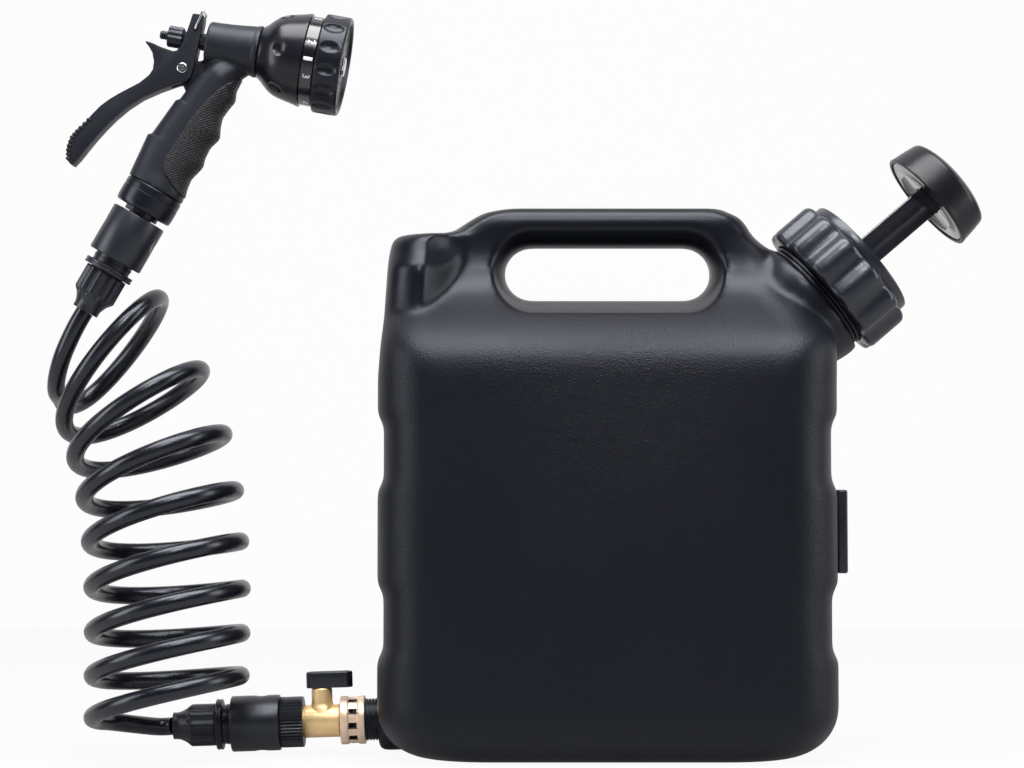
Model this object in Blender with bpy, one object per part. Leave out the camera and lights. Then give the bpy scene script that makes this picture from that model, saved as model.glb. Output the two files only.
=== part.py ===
"""Portable water tank with a hand air pump, a brass outlet tap, a coiled hose and a spray gun.

Metres, +Z up. The origin is the middle of the tank's base. The front faces -Y, the pump leans
towards +X and the outlet leaves towards -X.
"""
import math

import bmesh
import bpy
from mathutils import Matrix, Vector

MM = 0.001
GAP = 0.3 * MM          # between pieces that touch or are screwed together
RUNNING = 0.6 * MM      # radial clearance of a piece that turns round another
STEPS = 16              # facets of a round piece
NECK_STEPS = 20         # facets of the pump's neck, which a nut turns round
FEW_STEPS = 12          # facets of a small round piece

# Tank shell
TANK_LEFT = 149.0 * MM          # from the origin to the left side
TANK_RIGHT = 145.5 * MM         # from the origin to the right side
TANK_HALF_DEPTH = 82.5 * MM
TANK_WALL = 3.5 * MM
TOP_THICKENING = 0.9            # how much thicker the wall is round the handle, as a share
TANK_CORNER = 38.0 * MM         # radius of the upright corners
TANK_TOP = 357.5 * MM           # top of the handle
BASE_EDGE_RISE = 26.0 * MM      # height of the rounding round the base
BASE_EDGE_SIDE = 28.0 * MM      # how far it draws in the two sides
BASE_EDGE_FRONT = 18.0 * MM     # how far it draws in the front and the back
GROOVE_DEPTH = 4.0 * MM
GROOVE_HEIGHTS = (88.0 * MM, 196.0 * MM)
GROOVE_HALF = 16.0 * MM         # half the height of a groove's flat bottom
GROOVE_RAMP = 9.0 * MM
GROOVE_FADE = 24.0 * MM         # how far a groove runs on to the front and the back
SHOULDER_FOOT = 255.0 * MM      # where the front starts to slope back to the handle
SHOULDER_HEAD = 290.5 * MM      # where it reaches the handle's thickness
HANDLE_HALF_DEPTH = 22.0 * MM
HANDLE_EDGE = 11.0 * MM         # rounding of the handle's top
LOBE_TOP = 338.0 * MM           # flat top of the left shoulder
LOBE_HALF_DEPTH = 62.0 * MM
LOBE_LENGTH = 58.0 * MM         # along X, from the left side to the handle
LOBE_CORNER = 14.0 * MM
HANDLE_HOLE_LEFT = -67.5 * MM
HANDLE_HOLE_RIGHT = 68.0 * MM
HANDLE_HOLE_BOTTOM = 297.0 * MM
HANDLE_HOLE_TOP = 332.0 * MM
HANDLE_HOLE_EDGE = 6.0 * MM     # rounding of the hole's rim
RIM_NEAREST = 0.12              # how near the rim's points come to a corner, as a share of the front
NECK_FLARE = 45.0 * MM          # radius of the swelling that leads up to the pump

# Side plate on the right side
PLATE_HEIGHT = 46.0 * MM
PLATE_WIDTH = 84.0 * MM
PLATE_THICKNESS = 4.5 * MM
PLATE_MIDDLE = 148.0 * MM

# Pump, along its own axis, measured from the collar's lower rim
PUMP_X = 140.5 * MM
PUMP_Z = 302.3 * MM
PUMP_ANGLE = math.radians(40.5)
SHOULDER_DROP = 11.5 * MM       # from the collar's rim down to the tank's shoulder
SHOULDER_RADIUS = 42.5 * MM
SHOULDER_DEEP = 34.0 * MM       # how far the shoulder boss runs on into the tank
SHOULDER_TAPER = 6.0 * MM
NECK_FLARE_REACH = 28.0 * MM    # how far the swelling takes to rise beside the handle's hole
NECK_RADIUS = 38.0 * MM
NECK_BORE = 34.0 * MM
THROAT_RADIUS = 24.0 * MM       # where the bore opens into the tank, round the pump's cylinder
NECK_TOP = 19.0 * MM
NECK_THREAD = 2.2 * MM
NECK_THREAD_HEIGHTS = (7.0 * MM,)
NECK_GASKET = 2.0 * MM
COLLAR_RADIUS = 50.0 * MM
COLLAR_FLUTE = 4.2 * MM
COLLAR_LOBES = 12
COLLAR_HEIGHT = 31.0 * MM
CYLINDER_FLANGE = 3.4 * MM
FLANGE_TOP = NECK_TOP + GAP + NECK_GASKET + GAP + CYLINDER_FLANGE
CYLINDER_RADIUS = 19.0 * MM
CYLINDER_WALL = 2.0 * MM
CYLINDER_LENGTH = 184.0 * MM    # below its flange
CAP_RADIUS = 42.7 * MM
CAP_HEIGHT = 8.2 * MM
ROD_WIDTH = 19.0 * MM
ROD_WEB = 3.4 * MM
PISTON_DEPTH = 93.0 * MM        # from the collar's rim down to the piston at rest
PISTON_LENGTH = 12.0 * MM
SEAL_GROOVE = 3.0 * MM
KNOB_RIM = 93.0 * MM            # from the collar's rim up to the knob's rim
KNOB_RADIUS = 36.0 * MM
KNOB_TOP_RADIUS = 33.0 * MM
KNOB_SIDE = 19.0 * MM
KNOB_DOME = 7.0 * MM
KNOB_WALL = 2.6 * MM
FOOT_VALVE_RADIUS = 13.0 * MM
FOOT_VALVE_THICKNESS = 1.6 * MM

# Outlet and tap, along the outlet's axis, measured from the boss's face
OUTLET_X = -150.0 * MM
OUTLET_Z = 22.3 * MM
OUTLET_SAG = math.radians(1.9)
BOSS_RADIUS = 19.2 * MM
BOSS_DEEP = 29.0 * MM
STUB_RADIUS = 13.0 * MM
STUB_THREAD = 0.8 * MM
STUB_BORE = 8.0 * MM
STUB_LENGTH = 17.4 * MM
LOCKNUT_RADIUS = 16.6 * MM
LOCKNUT_THICKNESS = 6.0 * MM
OUTLET_GASKET = 2.0 * MM
NUT_START = 8.8 * MM
NUT_LENGTH = 16.0 * MM
NUT_RADIUS = 15.7 * MM
NUT_LIP = 1.8 * MM
TAP_WASHER = 2.2 * MM
TAIL_NECK = 8.6 * MM
TAP_RADIUS = 10.65 * MM
TAP_END = 48.7 * MM
TAP_BORE = 5.0 * MM
TAP_CHAMBER = 8.2 * MM
TAP_MIDDLE = 36.9 * MM
BALL_RADIUS = 7.6 * MM
SEAT_THICKNESS = 1.8 * MM
TAP_POST_RADIUS = 6.8 * MM
TAP_POST_TOP = 21.5 * MM        # above the outlet's axis
STEM_RADIUS = 2.6 * MM
PACKING_HEIGHT = 2.4 * MM
LEVER_LENGTH = 30.2 * MM
LEVER_THICKNESS = 10.4 * MM
LEVER_WIDTH = 11.5 * MM
LEVER_SHIFT = 5.2 * MM          # towards the tank
TAP_SPIGOT_RADIUS = 10.0 * MM
TAP_SPIGOT_LENGTH = 8.0 * MM

# Quick connectors, along their own axis, measured from the hose's end
RELIEF_LENGTH = 10.0 * MM
RELIEF_RADIUS = 8.75 * MM
HOSE_NUT_END = 28.2 * MM
HOSE_NUT_RADIUS = 13.9 * MM
HOSE_NUT_RIB = 1.3 * MM
HOSE_NUT_RIBS = 10
CONNECTOR_FLANGE_RADIUS = 16.5 * MM
CONNECTOR_FLANGE = 4.0 * MM
CONNECTOR_NECK = 12.8 * MM
SLEEVE_START = 38.1 * MM
SLEEVE_END = 70.0 * MM
SLEEVE_RADIUS = 18.1 * MM
SLEEVE_WALL = 2.4 * MM
SLEEVE_TRAVEL = 5.0 * MM
SLEEVE_SPRING = 1.5 * MM        # length of the spring when it is squeezed
SOCKET_RADIUS = 8.6 * MM
SOCKET_DEPTH = 16.0 * MM
BARB_RADIUS = 4.6 * MM
WATERWAY = 3.0 * MM
NIPPLE_RADIUS = 7.9 * MM
O_RING = 1.6 * MM
ADAPTOR_RADIUS = 16.5 * MM
ADAPTOR_LENGTH = 15.5 * MM
ADAPTOR_WASHER = 1.2 * MM

# Coiled hose
HOSE_DIAMETER = 11.6 * MM
COIL_X = -282.6 * MM
COIL_Z = 46.8 * MM
COIL_RADIUS = 47.2 * MM
COIL_WIDENING = 2.0 * MM
COIL_RISE = 26.3 * MM           # per turn
COIL_STRETCH = 29.6 * MM        # extra rise at the top
COIL_LEAN = -45.6 * MM          # sideways lean at the top
COIL_DRIFT = 50.5 * MM          # towards the back at the top
COIL_TILT = math.radians(8.7)
COIL_TOP_TILT = math.radians(40.2)
COIL_NOD = math.radians(6.0)
COIL_TOP_NOD = math.radians(13.0)
COIL_TURNS = 7.0
COIL_FIRST = -0.68
COIL_LAST = 7.50
COIL_POINTS = 22
LEAD_ROUTE = [
    (-362.0 * MM, -8.5 * MM, 237.6 * MM),
    (-358.4 * MM, -25.0 * MM, 246.8 * MM),
    (-352.2 * MM, -36.2 * MM, 260.8 * MM),
]
HOSE_TOP = Vector((-338.1 * MM, -40.0 * MM, 287.5 * MM))
HOSE_TOP_ANGLE = math.radians(60.3)

# Spray gun's grip, along the upper connector's axis, measured from the hose's end
TAIL_START = 76.5 * MM
TAIL_RADIUS = 19.2 * MM
TAIL_LENGTH = 14.0 * MM
TAIL_SPIGOT = 14.5 * MM
GRIP_END = 187.0 * MM
GRIP_BORE = 6.0 * MM
GRIP_FRONT = 18.3 * MM
GRIP_REAR = 20.5 * MM
GRIP_HALF_THICKNESS = 15.5 * MM
GRIP_SLIM = 4.6 * MM            # how much the front draws in towards the barrel
GRIP_SLIM_REAR = 9.0 * MM
GRIP_POINTS = 12
PAD_POINTS = 3                  # points of the grip's outline that the pad covers each way
PAD_BARE_COUNT = 3              # levels below the barrel that it leaves bare
PAD_THICKNESS = 0.8 * MM
PAD_GAP = 0.6 * MM
FINGER_WAVE = 1.7 * MM
FINGER_PITCH = 23.0 * MM
FINGER_FIRST = 118.0 * MM
GUN_THREAD_RADIUS = 8.2 * MM

# Spray gun's head, along its own axis, measured from the barrel's back
HEAD_X = -260.2 * MM
HEAD_Z = 461.7 * MM
HEAD_DROOP = math.radians(10.2)
BARREL_RADIUS = 14.0 * MM
BARREL_FRONT_RADIUS = 16.9 * MM
BARREL_LENGTH = 35.0 * MM
BARREL_BORE = 10.4 * MM
BARREL_BACK = 5.0 * MM
BELL_RADIUS = 30.4 * MM
BELL_SWELL_RADIUS = 27.2 * MM
BELL_END = 65.0 * MM
BELL_WALL = 2.6 * MM
BELL_SPIGOT = 7.0 * MM
BELL_BORE = 5.0 * MM
RING_RADIUS = 29.0 * MM
RING_LENGTH = 8.0 * MM
DIAL_RADIUS = 32.0 * MM
DIAL_LENGTH = 16.8 * MM
DIAL_LOBES = 8
DIAL_POINTS = 4                 # points to a lobe
DIAL_FLUTE = 1.6 * MM
DIAL_WALL = 3.0 * MM
CORE_POST = 4.0 * MM
FACE_THICKNESS = 3.0 * MM
FACE_RECESS = 2.0 * MM
NOZZLE_HOLES = 6
NOZZLE_RADIUS = 1.6 * MM
NOZZLE_CIRCLE = 17.0 * MM

# Trigger lever: places as (along the barrel, above the barrel's axis)
PIVOT = (-12.0 * MM, -20.0 * MM)
PIN_RADIUS = 2.0 * MM
LEVER_HALF = 7.0 * MM
LUG_HALF = 2.6 * MM
LUG_RADIUS = 4.6 * MM
VALVE_ROD_RADIUS = 2.8 * MM
VALVE_ROD_BACK = -31.0 * MM
POPPET_RADIUS = 7.4 * MM
POPPET_LENGTH = 3.6 * MM
VALVE_ROD_FRONT = BARREL_LENGTH - BELL_SPIGOT - POPPET_LENGTH - GAP
ROD_TRAVEL = 6.0 * MM
LEVER_BACK = -11.8 * MM
PACKING_NUT_RADIUS = 5.6 * MM
PACKING_NUT_LENGTH = 3.8 * MM
PACKING_SPIGOT = 4.2 * MM
ADJUSTER_RADIUS = 7.0 * MM
ADJUSTER_CONE = 4.4 * MM
ADJUSTER_FRONT = -12.2 * MM
ADJUSTER_SHOULDER = -16.0 * MM
ADJUSTER_BACK = -25.6 * MM
CLIP_PIVOT = (-8.0 * MM, 6.5 * MM)
CLIP_WIRE = 0.85 * MM
CLIP_HEIGHT = 12.5 * MM

# Finishes: colour, roughness and metallic value
TANK_PLASTIC = ((0.014, 0.014, 0.016), 0.42, 0.0)
BLACK_PLASTIC = ((0.011, 0.011, 0.012), 0.35, 0.0)
GLOSS_PLASTIC = ((0.006, 0.006, 0.007), 0.15, 0.0)
SOFT_RUBBER = ((0.012, 0.012, 0.013), 0.65, 0.0)
HOSE_PLASTIC = ((0.008, 0.008, 0.01), 0.22, 0.0)
BRASS = ((0.78, 0.58, 0.32), 0.28, 1.0)
STEEL = ((0.62, 0.62, 0.62), 0.25, 1.0)
WHITE_PLASTIC = ((0.75, 0.75, 0.72), 0.4, 0.0)


def frame_at(origin, along, side=(0, 1, 0)):
    """A place whose local Z runs along the given direction and whose local Y is the given side."""
    z_axis = Vector(along).normalized()
    y_axis = Vector(side)
    x_axis = y_axis.cross(z_axis).normalized()
    matrix = Matrix((x_axis, y_axis, z_axis)).transposed().to_4x4()
    matrix.translation = Vector(origin)
    return matrix


WORLD = Matrix.Identity(4)
PUMP = frame_at((PUMP_X, 0, PUMP_Z), (math.cos(PUMP_ANGLE), 0, math.sin(PUMP_ANGLE)))
OUTLET = frame_at((OUTLET_X, 0, OUTLET_Z), (-math.cos(OUTLET_SAG), 0, -math.sin(OUTLET_SAG)))
CONNECTOR_LENGTH = SLEEVE_END + ADAPTOR_LENGTH
HOSE_START_ALONG = TAP_END + CONNECTOR_LENGTH + GAP
HOSE_START = OUTLET @ Vector((0, 0, HOSE_START_ALONG))
LOWER = frame_at(HOSE_START, (math.cos(OUTLET_SAG), 0, math.sin(OUTLET_SAG)))
UPPER = frame_at(HOSE_TOP, (math.cos(HOSE_TOP_ANGLE), 0, math.sin(HOSE_TOP_ANGLE)))
HEAD = frame_at(
    (HEAD_X, HOSE_TOP.y, HEAD_Z),
    (math.cos(HEAD_DROOP), 0, -math.sin(HEAD_DROOP)),
    side=(0, -1, 0),
)


def clear_scene():
    for item in list(bpy.data.objects):
        bpy.data.objects.remove(item)


def paint(item, finish):
    """Gives an object its own material."""
    colour, roughness, metallic = finish
    coat = bpy.data.materials.new(item.name)
    coat.use_nodes = True
    shader = coat.node_tree.nodes["Principled BSDF"]
    shader.inputs["Base Color"].default_value = (*colour, 1)
    shader.inputs["Roughness"].default_value = roughness
    shader.inputs["Metallic"].default_value = metallic
    item.data.materials.clear()
    item.data.materials.append(coat)


def finish_mesh(name, bm, finish, matrix):
    """Turns a bmesh into a named, painted object at a place."""
    bmesh.ops.recalc_face_normals(bm, faces=bm.faces)
    mesh = bpy.data.meshes.new(name)
    bm.to_mesh(mesh)
    bm.free()
    mesh.shade_smooth()
    mesh.set_sharp_from_angle(angle=math.radians(35))
    item = bpy.data.objects.new(name, mesh)
    bpy.context.scene.collection.objects.link(item)
    item.matrix_world = matrix
    paint(item, finish)
    return item


def turned(name, profile, finish, matrix, steps=STEPS):
    """A turned piece: radius and height pairs, a closed ring unless it starts on the axis."""
    bm = bmesh.new()
    verts = [bm.verts.new((radius, 0, height)) for radius, height in profile]
    edges = [bm.edges.new(pair) for pair in zip(verts, verts[1:])]
    if profile[0][0] > 0:
        edges.append(bm.edges.new((verts[-1], verts[0])))
    bmesh.ops.spin(
        bm, geom=verts + edges, cent=(0, 0, 0), axis=(0, 0, 1), angle=math.tau, steps=steps
    )
    bmesh.ops.remove_doubles(bm, verts=bm.verts, dist=1e-7)
    return finish_mesh(name, bm, finish, matrix)


def skinned(name, rings, finish, matrix, ring_shaped=False):
    """A skin over rings of as many points; closed by two end faces, or on itself if ring shaped."""
    bm = bmesh.new()
    loops = [[bm.verts.new(point) for point in ring] for ring in rings]
    pairs = list(zip(loops, loops[1:]))
    if ring_shaped:
        pairs.append((loops[-1], loops[0]))
    for low, high in pairs:
        for i in range(len(low)):
            j = (i + 1) % len(low)
            bm.faces.new((low[i], low[j], high[j], high[i]))
    if not ring_shaped:
        bm.faces.new(loops[0][::-1])
        bm.faces.new(loops[-1])
    return finish_mesh(name, bm, finish, matrix)


def plate(name, outline, half, finish, matrix):
    """A flat outline of (along Z, along X) points, thickened both ways along Y."""
    rings = [[Vector((x, y, z)) for z, x in outline] for y in (-half, half)]
    return skinned(name, rings, finish, matrix)


def block(name, low, high, finish, matrix):
    """A box between two corners."""
    bm = bmesh.new()
    bmesh.ops.create_cube(bm, size=1)
    low, high = Vector(low), Vector(high)
    for vert in bm.verts:
        vert.co = Vector([(a + b) / 2 + c * (b - a) for a, b, c in zip(low, high, vert.co)])
    return finish_mesh(name, bm, finish, matrix)


def cylinder(name, radius, start, end, finish, matrix, steps=STEPS):
    return turned(name, [(0, start), (radius, start), (radius, end), (0, end)], finish, matrix, steps)


def combine(target, tool, operation):
    """Joins a tool to the target or cuts it out, and removes the tool."""
    change = target.modifiers.new(operation, "BOOLEAN")
    change.operation = operation
    change.solver = "EXACT"
    change.object = tool
    bpy.context.view_layer.update()
    graph = bpy.context.evaluated_depsgraph_get()
    mesh = bpy.data.meshes.new_from_object(target.evaluated_get(graph))
    target.modifiers.clear()
    old = target.data
    target.data = mesh
    mesh.name = target.name
    bpy.data.meshes.remove(old)
    bpy.data.objects.remove(tool)
    bm = bmesh.new()
    bm.from_mesh(mesh)
    bmesh.ops.remove_doubles(bm, verts=bm.verts, dist=2e-6)
    bmesh.ops.dissolve_degenerate(bm, edges=bm.edges, dist=2e-6)
    bm.to_mesh(mesh)
    bm.free()


def join(target, *tools):
    for tool in tools:
        combine(target, tool, "UNION")


def cut(target, *tools):
    for tool in tools:
        combine(target, tool, "DIFFERENCE")


def ease(value):
    """A smooth step from 0 to 1."""
    value = min(max(value, 0.0), 1.0)
    return value * value * (3 - 2 * value)


def soft_max(a, b, blend):
    """The larger of two numbers, rounded where they meet."""
    gap = max(blend - abs(a - b), 0.0) / blend
    return max(a, b) + gap * gap * blend / 4


def between(value, pairs):
    """Reads a value from pairs of (place, value) in rising order, straight between them."""
    if value <= pairs[0][0]:
        return pairs[0][1]
    for (a, first), (b, second) in zip(pairs, pairs[1:]):
        if value <= b:
            return first + (second - first) * (value - a) / (b - a)
    return pairs[-1][1]


def pump_place(along, across):
    """X and Z of a point along the pump's axis and across it."""
    point = PUMP @ Vector((across, 0, along))
    return point.x, point.z


def left_edge(z):
    """The tank's left side at a height, drawn in above the body."""
    top = [
        (SHOULDER_FOOT - 12 * MM, -TANK_LEFT),
        (SHOULDER_FOOT + 22 * MM, -TANK_LEFT + 2.6 * MM),
        (LOBE_TOP - 17 * MM, -TANK_LEFT + 5.5 * MM),
        (LOBE_TOP - 6 * MM, -TANK_LEFT + 7.2 * MM),
        (LOBE_TOP - 1.2 * MM, -TANK_LEFT + 10.5 * MM),
        (LOBE_TOP, -TANK_LEFT + 15.0 * MM),
        (LOBE_TOP + 1.0 * MM, -TANK_LEFT + LOBE_LENGTH - 14 * MM),
        (TANK_TOP - 14 * MM, -TANK_LEFT + LOBE_LENGTH - 6 * MM),
        (TANK_TOP - 8 * MM, -TANK_LEFT + LOBE_LENGTH + 2 * MM),
        (TANK_TOP - 3 * MM, -TANK_LEFT + LOBE_LENGTH + 11 * MM),
        (TANK_TOP, -TANK_LEFT + LOBE_LENGTH + 26 * MM),
    ]
    return between(z, top)


def right_edge(z):
    """The tank's right side at a height: it runs just under the pump's shoulder boss."""
    under = SHOULDER_DROP + 3 * MM
    low_x, low_z = pump_place(-under, 33 * MM)
    high_x, high_z = pump_place(-under, -38 * MM)
    end_x, end_z = pump_place(-SHOULDER_DROP, -54 * MM)
    side = [
        (SHOULDER_FOOT - 8 * MM, TANK_RIGHT),
        (low_z, min(low_x, TANK_RIGHT)),
        (high_z, high_x),
        (end_z, end_x),
        (TANK_TOP - 8 * MM, end_x - 8 * MM),
        (TANK_TOP - 3 * MM, end_x - 15 * MM),
        (TANK_TOP, end_x - 30 * MM),
    ]
    return between(z, side)


def groove_at(z):
    """How deep the grooves are at a height."""
    depth = 0.0
    for middle in GROOVE_HEIGHTS:
        away = abs(z - middle) - GROOVE_HALF
        depth = max(depth, GROOVE_DEPTH * (1 - ease(away / GROOVE_RAMP)))
    return depth


def half_depth(x, z):
    """Half the tank's depth at a place on its front."""
    rise = min(max((z - SHOULDER_FOOT) / (SHOULDER_HEAD - SHOULDER_FOOT), 0.0), 1.0)
    slope = (1 - rise ** 2.1) ** 0.8
    handle = HANDLE_HALF_DEPTH - HANDLE_EDGE * ease((z - TANK_TOP + HANDLE_EDGE) / HANDLE_EDGE) * 0.8
    body = handle + (TANK_HALF_DEPTH - HANDLE_HALF_DEPTH) * slope
    reach = min(max((x + TANK_LEFT) / LOBE_LENGTH, 0.0), 1.0)
    lobe = LOBE_HALF_DEPTH + (HANDLE_HALF_DEPTH - 4 * MM - LOBE_HALF_DEPTH) * reach
    across = (z - PUMP_Z) * math.cos(PUMP_ANGLE) - (x - PUMP_X) * math.sin(PUMP_ANGLE)
    flare = math.sqrt(max(NECK_FLARE ** 2 - across ** 2, 0.0))
    flare *= ease((x - HANDLE_HOLE_RIGHT - HANDLE_HOLE_EDGE) / NECK_FLARE_REACH)
    body = soft_max(body, flare, 12 * MM)
    if z > LOBE_TOP:
        return body
    return min(soft_max(body, lobe, 8 * MM), TANK_HALF_DEPTH)


def tank_section(height, inset=0.0, corner_points=3, rim_points=3):
    """The tank's outline at a height, drawn in by the inset, as points round it."""
    inset *= 1 + TOP_THICKENING * ease((height - SHOULDER_FOOT) / (SHOULDER_HEAD - SHOULDER_FOOT))
    z = height + inset * (2 * ease((height - BASE_EDGE_RISE) / (SHOULDER_FOOT - BASE_EDGE_RISE)) - 1)
    low = max(1 - z / BASE_EDGE_RISE, 0.0)
    tuck = 1 - math.sqrt(max(1 - low * low, 0.0))
    groove = groove_at(z)
    left = left_edge(z) + tuck * BASE_EDGE_SIDE + inset
    right = right_edge(z) - tuck * BASE_EDGE_SIDE - inset
    corner = TANK_CORNER + (LOBE_CORNER - TANK_CORNER) * ease((z - SHOULDER_FOOT + 20 * MM) / (60 * MM))

    def depth_at(x):
        return half_depth(x, z) - tuck * BASE_EDGE_FRONT - inset

    left_corner = min(corner, 0.8 * depth_at(left + corner))
    right_corner = min(corner, 0.8 * depth_at(right - corner))
    half = []
    side = depth_at(left + left_corner) - left_corner
    half += [(left + groove, -side * share) for share in (0.0, 0.6)]
    for i in range(corner_points + 1):
        angle = math.pi / 2 * i / corner_points
        x = left + left_corner - (left_corner - groove) * math.cos(angle)
        y = side + (left_corner - groove) * math.sin(angle)
        half.append((x, -y))
    start = left + left_corner
    end = right - right_corner
    nearest = RIM_NEAREST * (end - start)
    rim_left = max(HANDLE_HOLE_LEFT - HANDLE_HOLE_EDGE, start + nearest)
    rim_right = min(HANDLE_HOLE_RIGHT + HANDLE_HOLE_EDGE, end - nearest)
    places = [rim_left + (rim_right - rim_left) * i / rim_points for i in range(rim_points + 1)]
    for x in [(start + rim_left) / 2] + places + [(rim_right + end) / 2]:
        fade = 1 - ease(min(x - start, end - x) / GROOVE_FADE)
        half.append((x, -(depth_at(x) - groove * fade)))
    side = depth_at(right - right_corner) - right_corner
    for i in range(corner_points + 1):
        angle = math.pi / 2 * (1 - i / corner_points)
        x = right - right_corner + (right_corner - groove) * math.cos(angle)
        y = side + (right_corner - groove) * math.sin(angle)
        half.append((x, -y))
    half += [(right - groove, -side * share) for share in (0.6, 0.0)]
    back = [(x, -y) for x, y in half[-2:0:-1]]
    return [Vector((x, y, height)) for x, y in half + back]


def tank_levels():
    """Heights of the outer sections, closer together where the shape turns."""
    levels = [share * BASE_EDGE_RISE for share in (0.0, 0.12, 0.45, 1.0)]
    for middle in GROOVE_HEIGHTS:
        edge = GROOVE_HALF + GROOVE_RAMP
        levels += [middle - edge, middle - GROOVE_HALF, middle + GROOVE_HALF, middle + edge]
    rise = SHOULDER_HEAD - SHOULDER_FOOT
    levels += [SHOULDER_FOOT + rise * share for share in (-0.2, 0.2, 0.45, 0.65, 0.82, 1.0)]
    levels += [LOBE_TOP - drop * MM for drop in (20, 6, 0)]
    levels += [LOBE_TOP + 1 * MM, TANK_TOP - 8 * MM, TANK_TOP - 3 * MM, TANK_TOP]
    return sorted(levels)


def handle_slot(name, flare, half):
    """A block the shape of the handle's hole, wider towards its two faces."""
    radius = (HANDLE_HOLE_TOP - HANDLE_HOLE_BOTTOM) / 2
    middle = (HANDLE_HOLE_TOP + HANDLE_HOLE_BOTTOM) / 2
    rings = []
    for y, extra in flare:
        ring = []
        for centre, first in ((HANDLE_HOLE_RIGHT - radius, -90), (HANDLE_HOLE_LEFT + radius, 90)):
            for i in range(half + 1):
                angle = math.radians(first + 180 * i / half)
                x = centre + (radius + extra) * math.cos(angle)
                ring.append(Vector((x, y, middle + (radius + extra) * math.sin(angle))))
        rings.append(ring)
    return skinned(name, rings, TANK_PLASTIC, WORLD)


def make_tank_shell():
    """The blow-moulded tank: body, hollow handle, pump neck and outlet boss in one piece."""
    tank = skinned("tank_shell", [tank_section(z) for z in tank_levels()], TANK_PLASTIC, WORLD)
    boss_end = -SHOULDER_DROP
    boss_start = boss_end - SHOULDER_DEEP
    edge = 3 * MM
    boss = [
        (0, boss_start),
        (SHOULDER_RADIUS - SHOULDER_TAPER, boss_start),
        (SHOULDER_RADIUS, boss_end - edge),
        (SHOULDER_RADIUS - edge * 0.3, boss_end - edge * 0.3),
        (SHOULDER_RADIUS - edge, boss_end),
        (0, boss_end),
    ]
    neck = [(0, boss_end - 2 * MM), (NECK_RADIUS, boss_end - 2 * MM)]
    for height in NECK_THREAD_HEIGHTS:
        neck += [(NECK_RADIUS, height - 3.6 * MM), (NECK_RADIUS + NECK_THREAD, height - 1.5 * MM)]
        neck += [(NECK_RADIUS + NECK_THREAD, height + 1.5 * MM), (NECK_RADIUS, height + 3.6 * MM)]
    neck += [(NECK_RADIUS, NECK_TOP), (0, NECK_TOP)]
    join(tank, turned("boss", boss, TANK_PLASTIC, PUMP, NECK_STEPS))
    join(tank, turned("neck", neck, TANK_PLASTIC, PUMP, NECK_STEPS))
    lowest, highest = TANK_WALL, TANK_TOP - TANK_WALL
    inner = [z for z in tank_levels() if lowest + 2 * MM < z < highest - 2 * MM]
    rings = [tank_section(z, TANK_WALL, 2) for z in [lowest] + inner + [highest]]
    cavity = skinned("cavity", rings, TANK_PLASTIC, WORLD)
    guard = HANDLE_HOLE_EDGE + TANK_WALL
    cut(cavity, handle_slot("guard", ((-0.2, guard), (0.2, guard)), 8))
    cut(tank, cavity)
    join(tank, cylinder("boss", BOSS_RADIUS, -BOSS_DEEP, 0, TANK_PLASTIC, OUTLET))
    out = HANDLE_HALF_DEPTH + 0.5 * MM
    rim = HANDLE_HOLE_EDGE
    bend = [(out, rim), (out - rim * 0.3, rim * 0.42), (out - rim * 0.9, rim * 0.05)]
    flare = [(-y, extra) for y, extra in bend] + bend[::-1]
    cut(tank, handle_slot("hole", flare, 8))
    reach = SHOULDER_DEEP + SHOULDER_DROP + 6 * MM
    bore = [(0, -reach), (THROAT_RADIUS, -reach), (NECK_BORE, -SHOULDER_DROP)]
    bore += [(NECK_BORE, NECK_TOP + 5 * MM), (0, NECK_TOP + 5 * MM)]
    cut(tank, turned("bore", bore, TANK_PLASTIC, PUMP, NECK_STEPS))
    stub_hole = STUB_RADIUS + GAP
    cut(tank, cylinder("bore", stub_hole, -BOSS_DEEP - 20 * MM, 5 * MM, TANK_PLASTIC, OUTLET))


def make_side_plate():
    """The plain plate on the tank's right side."""
    start = TANK_RIGHT + GAP
    plate_item = block(
        "side_plate",
        (start, -PLATE_WIDTH / 2, PLATE_MIDDLE - PLATE_HEIGHT / 2),
        (start + PLATE_THICKNESS, PLATE_WIDTH / 2, PLATE_MIDDLE + PLATE_HEIGHT / 2),
        BLACK_PLASTIC,
        WORLD,
    )
    edge = plate_item.modifiers.new("edge", "BEVEL")
    edge.width = 1.2 * MM
    edge.segments = 1


def fluted_ring(radius, flute, lobes, height, points=3, flat=False):
    """A ring of points round a lobed outline: broad lobes with hollow flutes between them."""
    ring = []
    for i in range(lobes * points):
        share = (i % points) / points
        hollow = math.cos(math.pi * share) ** 6
        angle = math.tau * i / (lobes * points)
        r = radius if flat else radius - flute * hollow
        ring.append(Vector((r * math.cos(angle), r * math.sin(angle), height)))
    return ring


def make_collar():
    """The large lobed nut that clamps the pump on to the neck."""
    edge = 3 * MM
    bore = NECK_RADIUS + NECK_THREAD + RUNNING
    opening = NECK_BORE + RUNNING
    lip = FLANGE_TOP + GAP
    outer = [(COLLAR_RADIUS - 1 * MM, 0), (COLLAR_RADIUS, 1.5 * MM), (COLLAR_RADIUS, COLLAR_HEIGHT - edge)]
    outer += [(COLLAR_RADIUS - edge * 0.35, COLLAR_HEIGHT - edge * 0.35), (COLLAR_RADIUS - edge, COLLAR_HEIGHT)]
    rings = [fluted_ring(r, COLLAR_FLUTE, COLLAR_LOBES, z) for r, z in outer]
    inner = [(opening, COLLAR_HEIGHT), (opening, lip), (bore, lip), (bore, 0)]
    rings += [fluted_ring(r, 0, COLLAR_LOBES, z, flat=True) for r, z in inner]
    skinned("pump_collar", rings, BLACK_PLASTIC, PUMP, ring_shaped=True)


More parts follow.
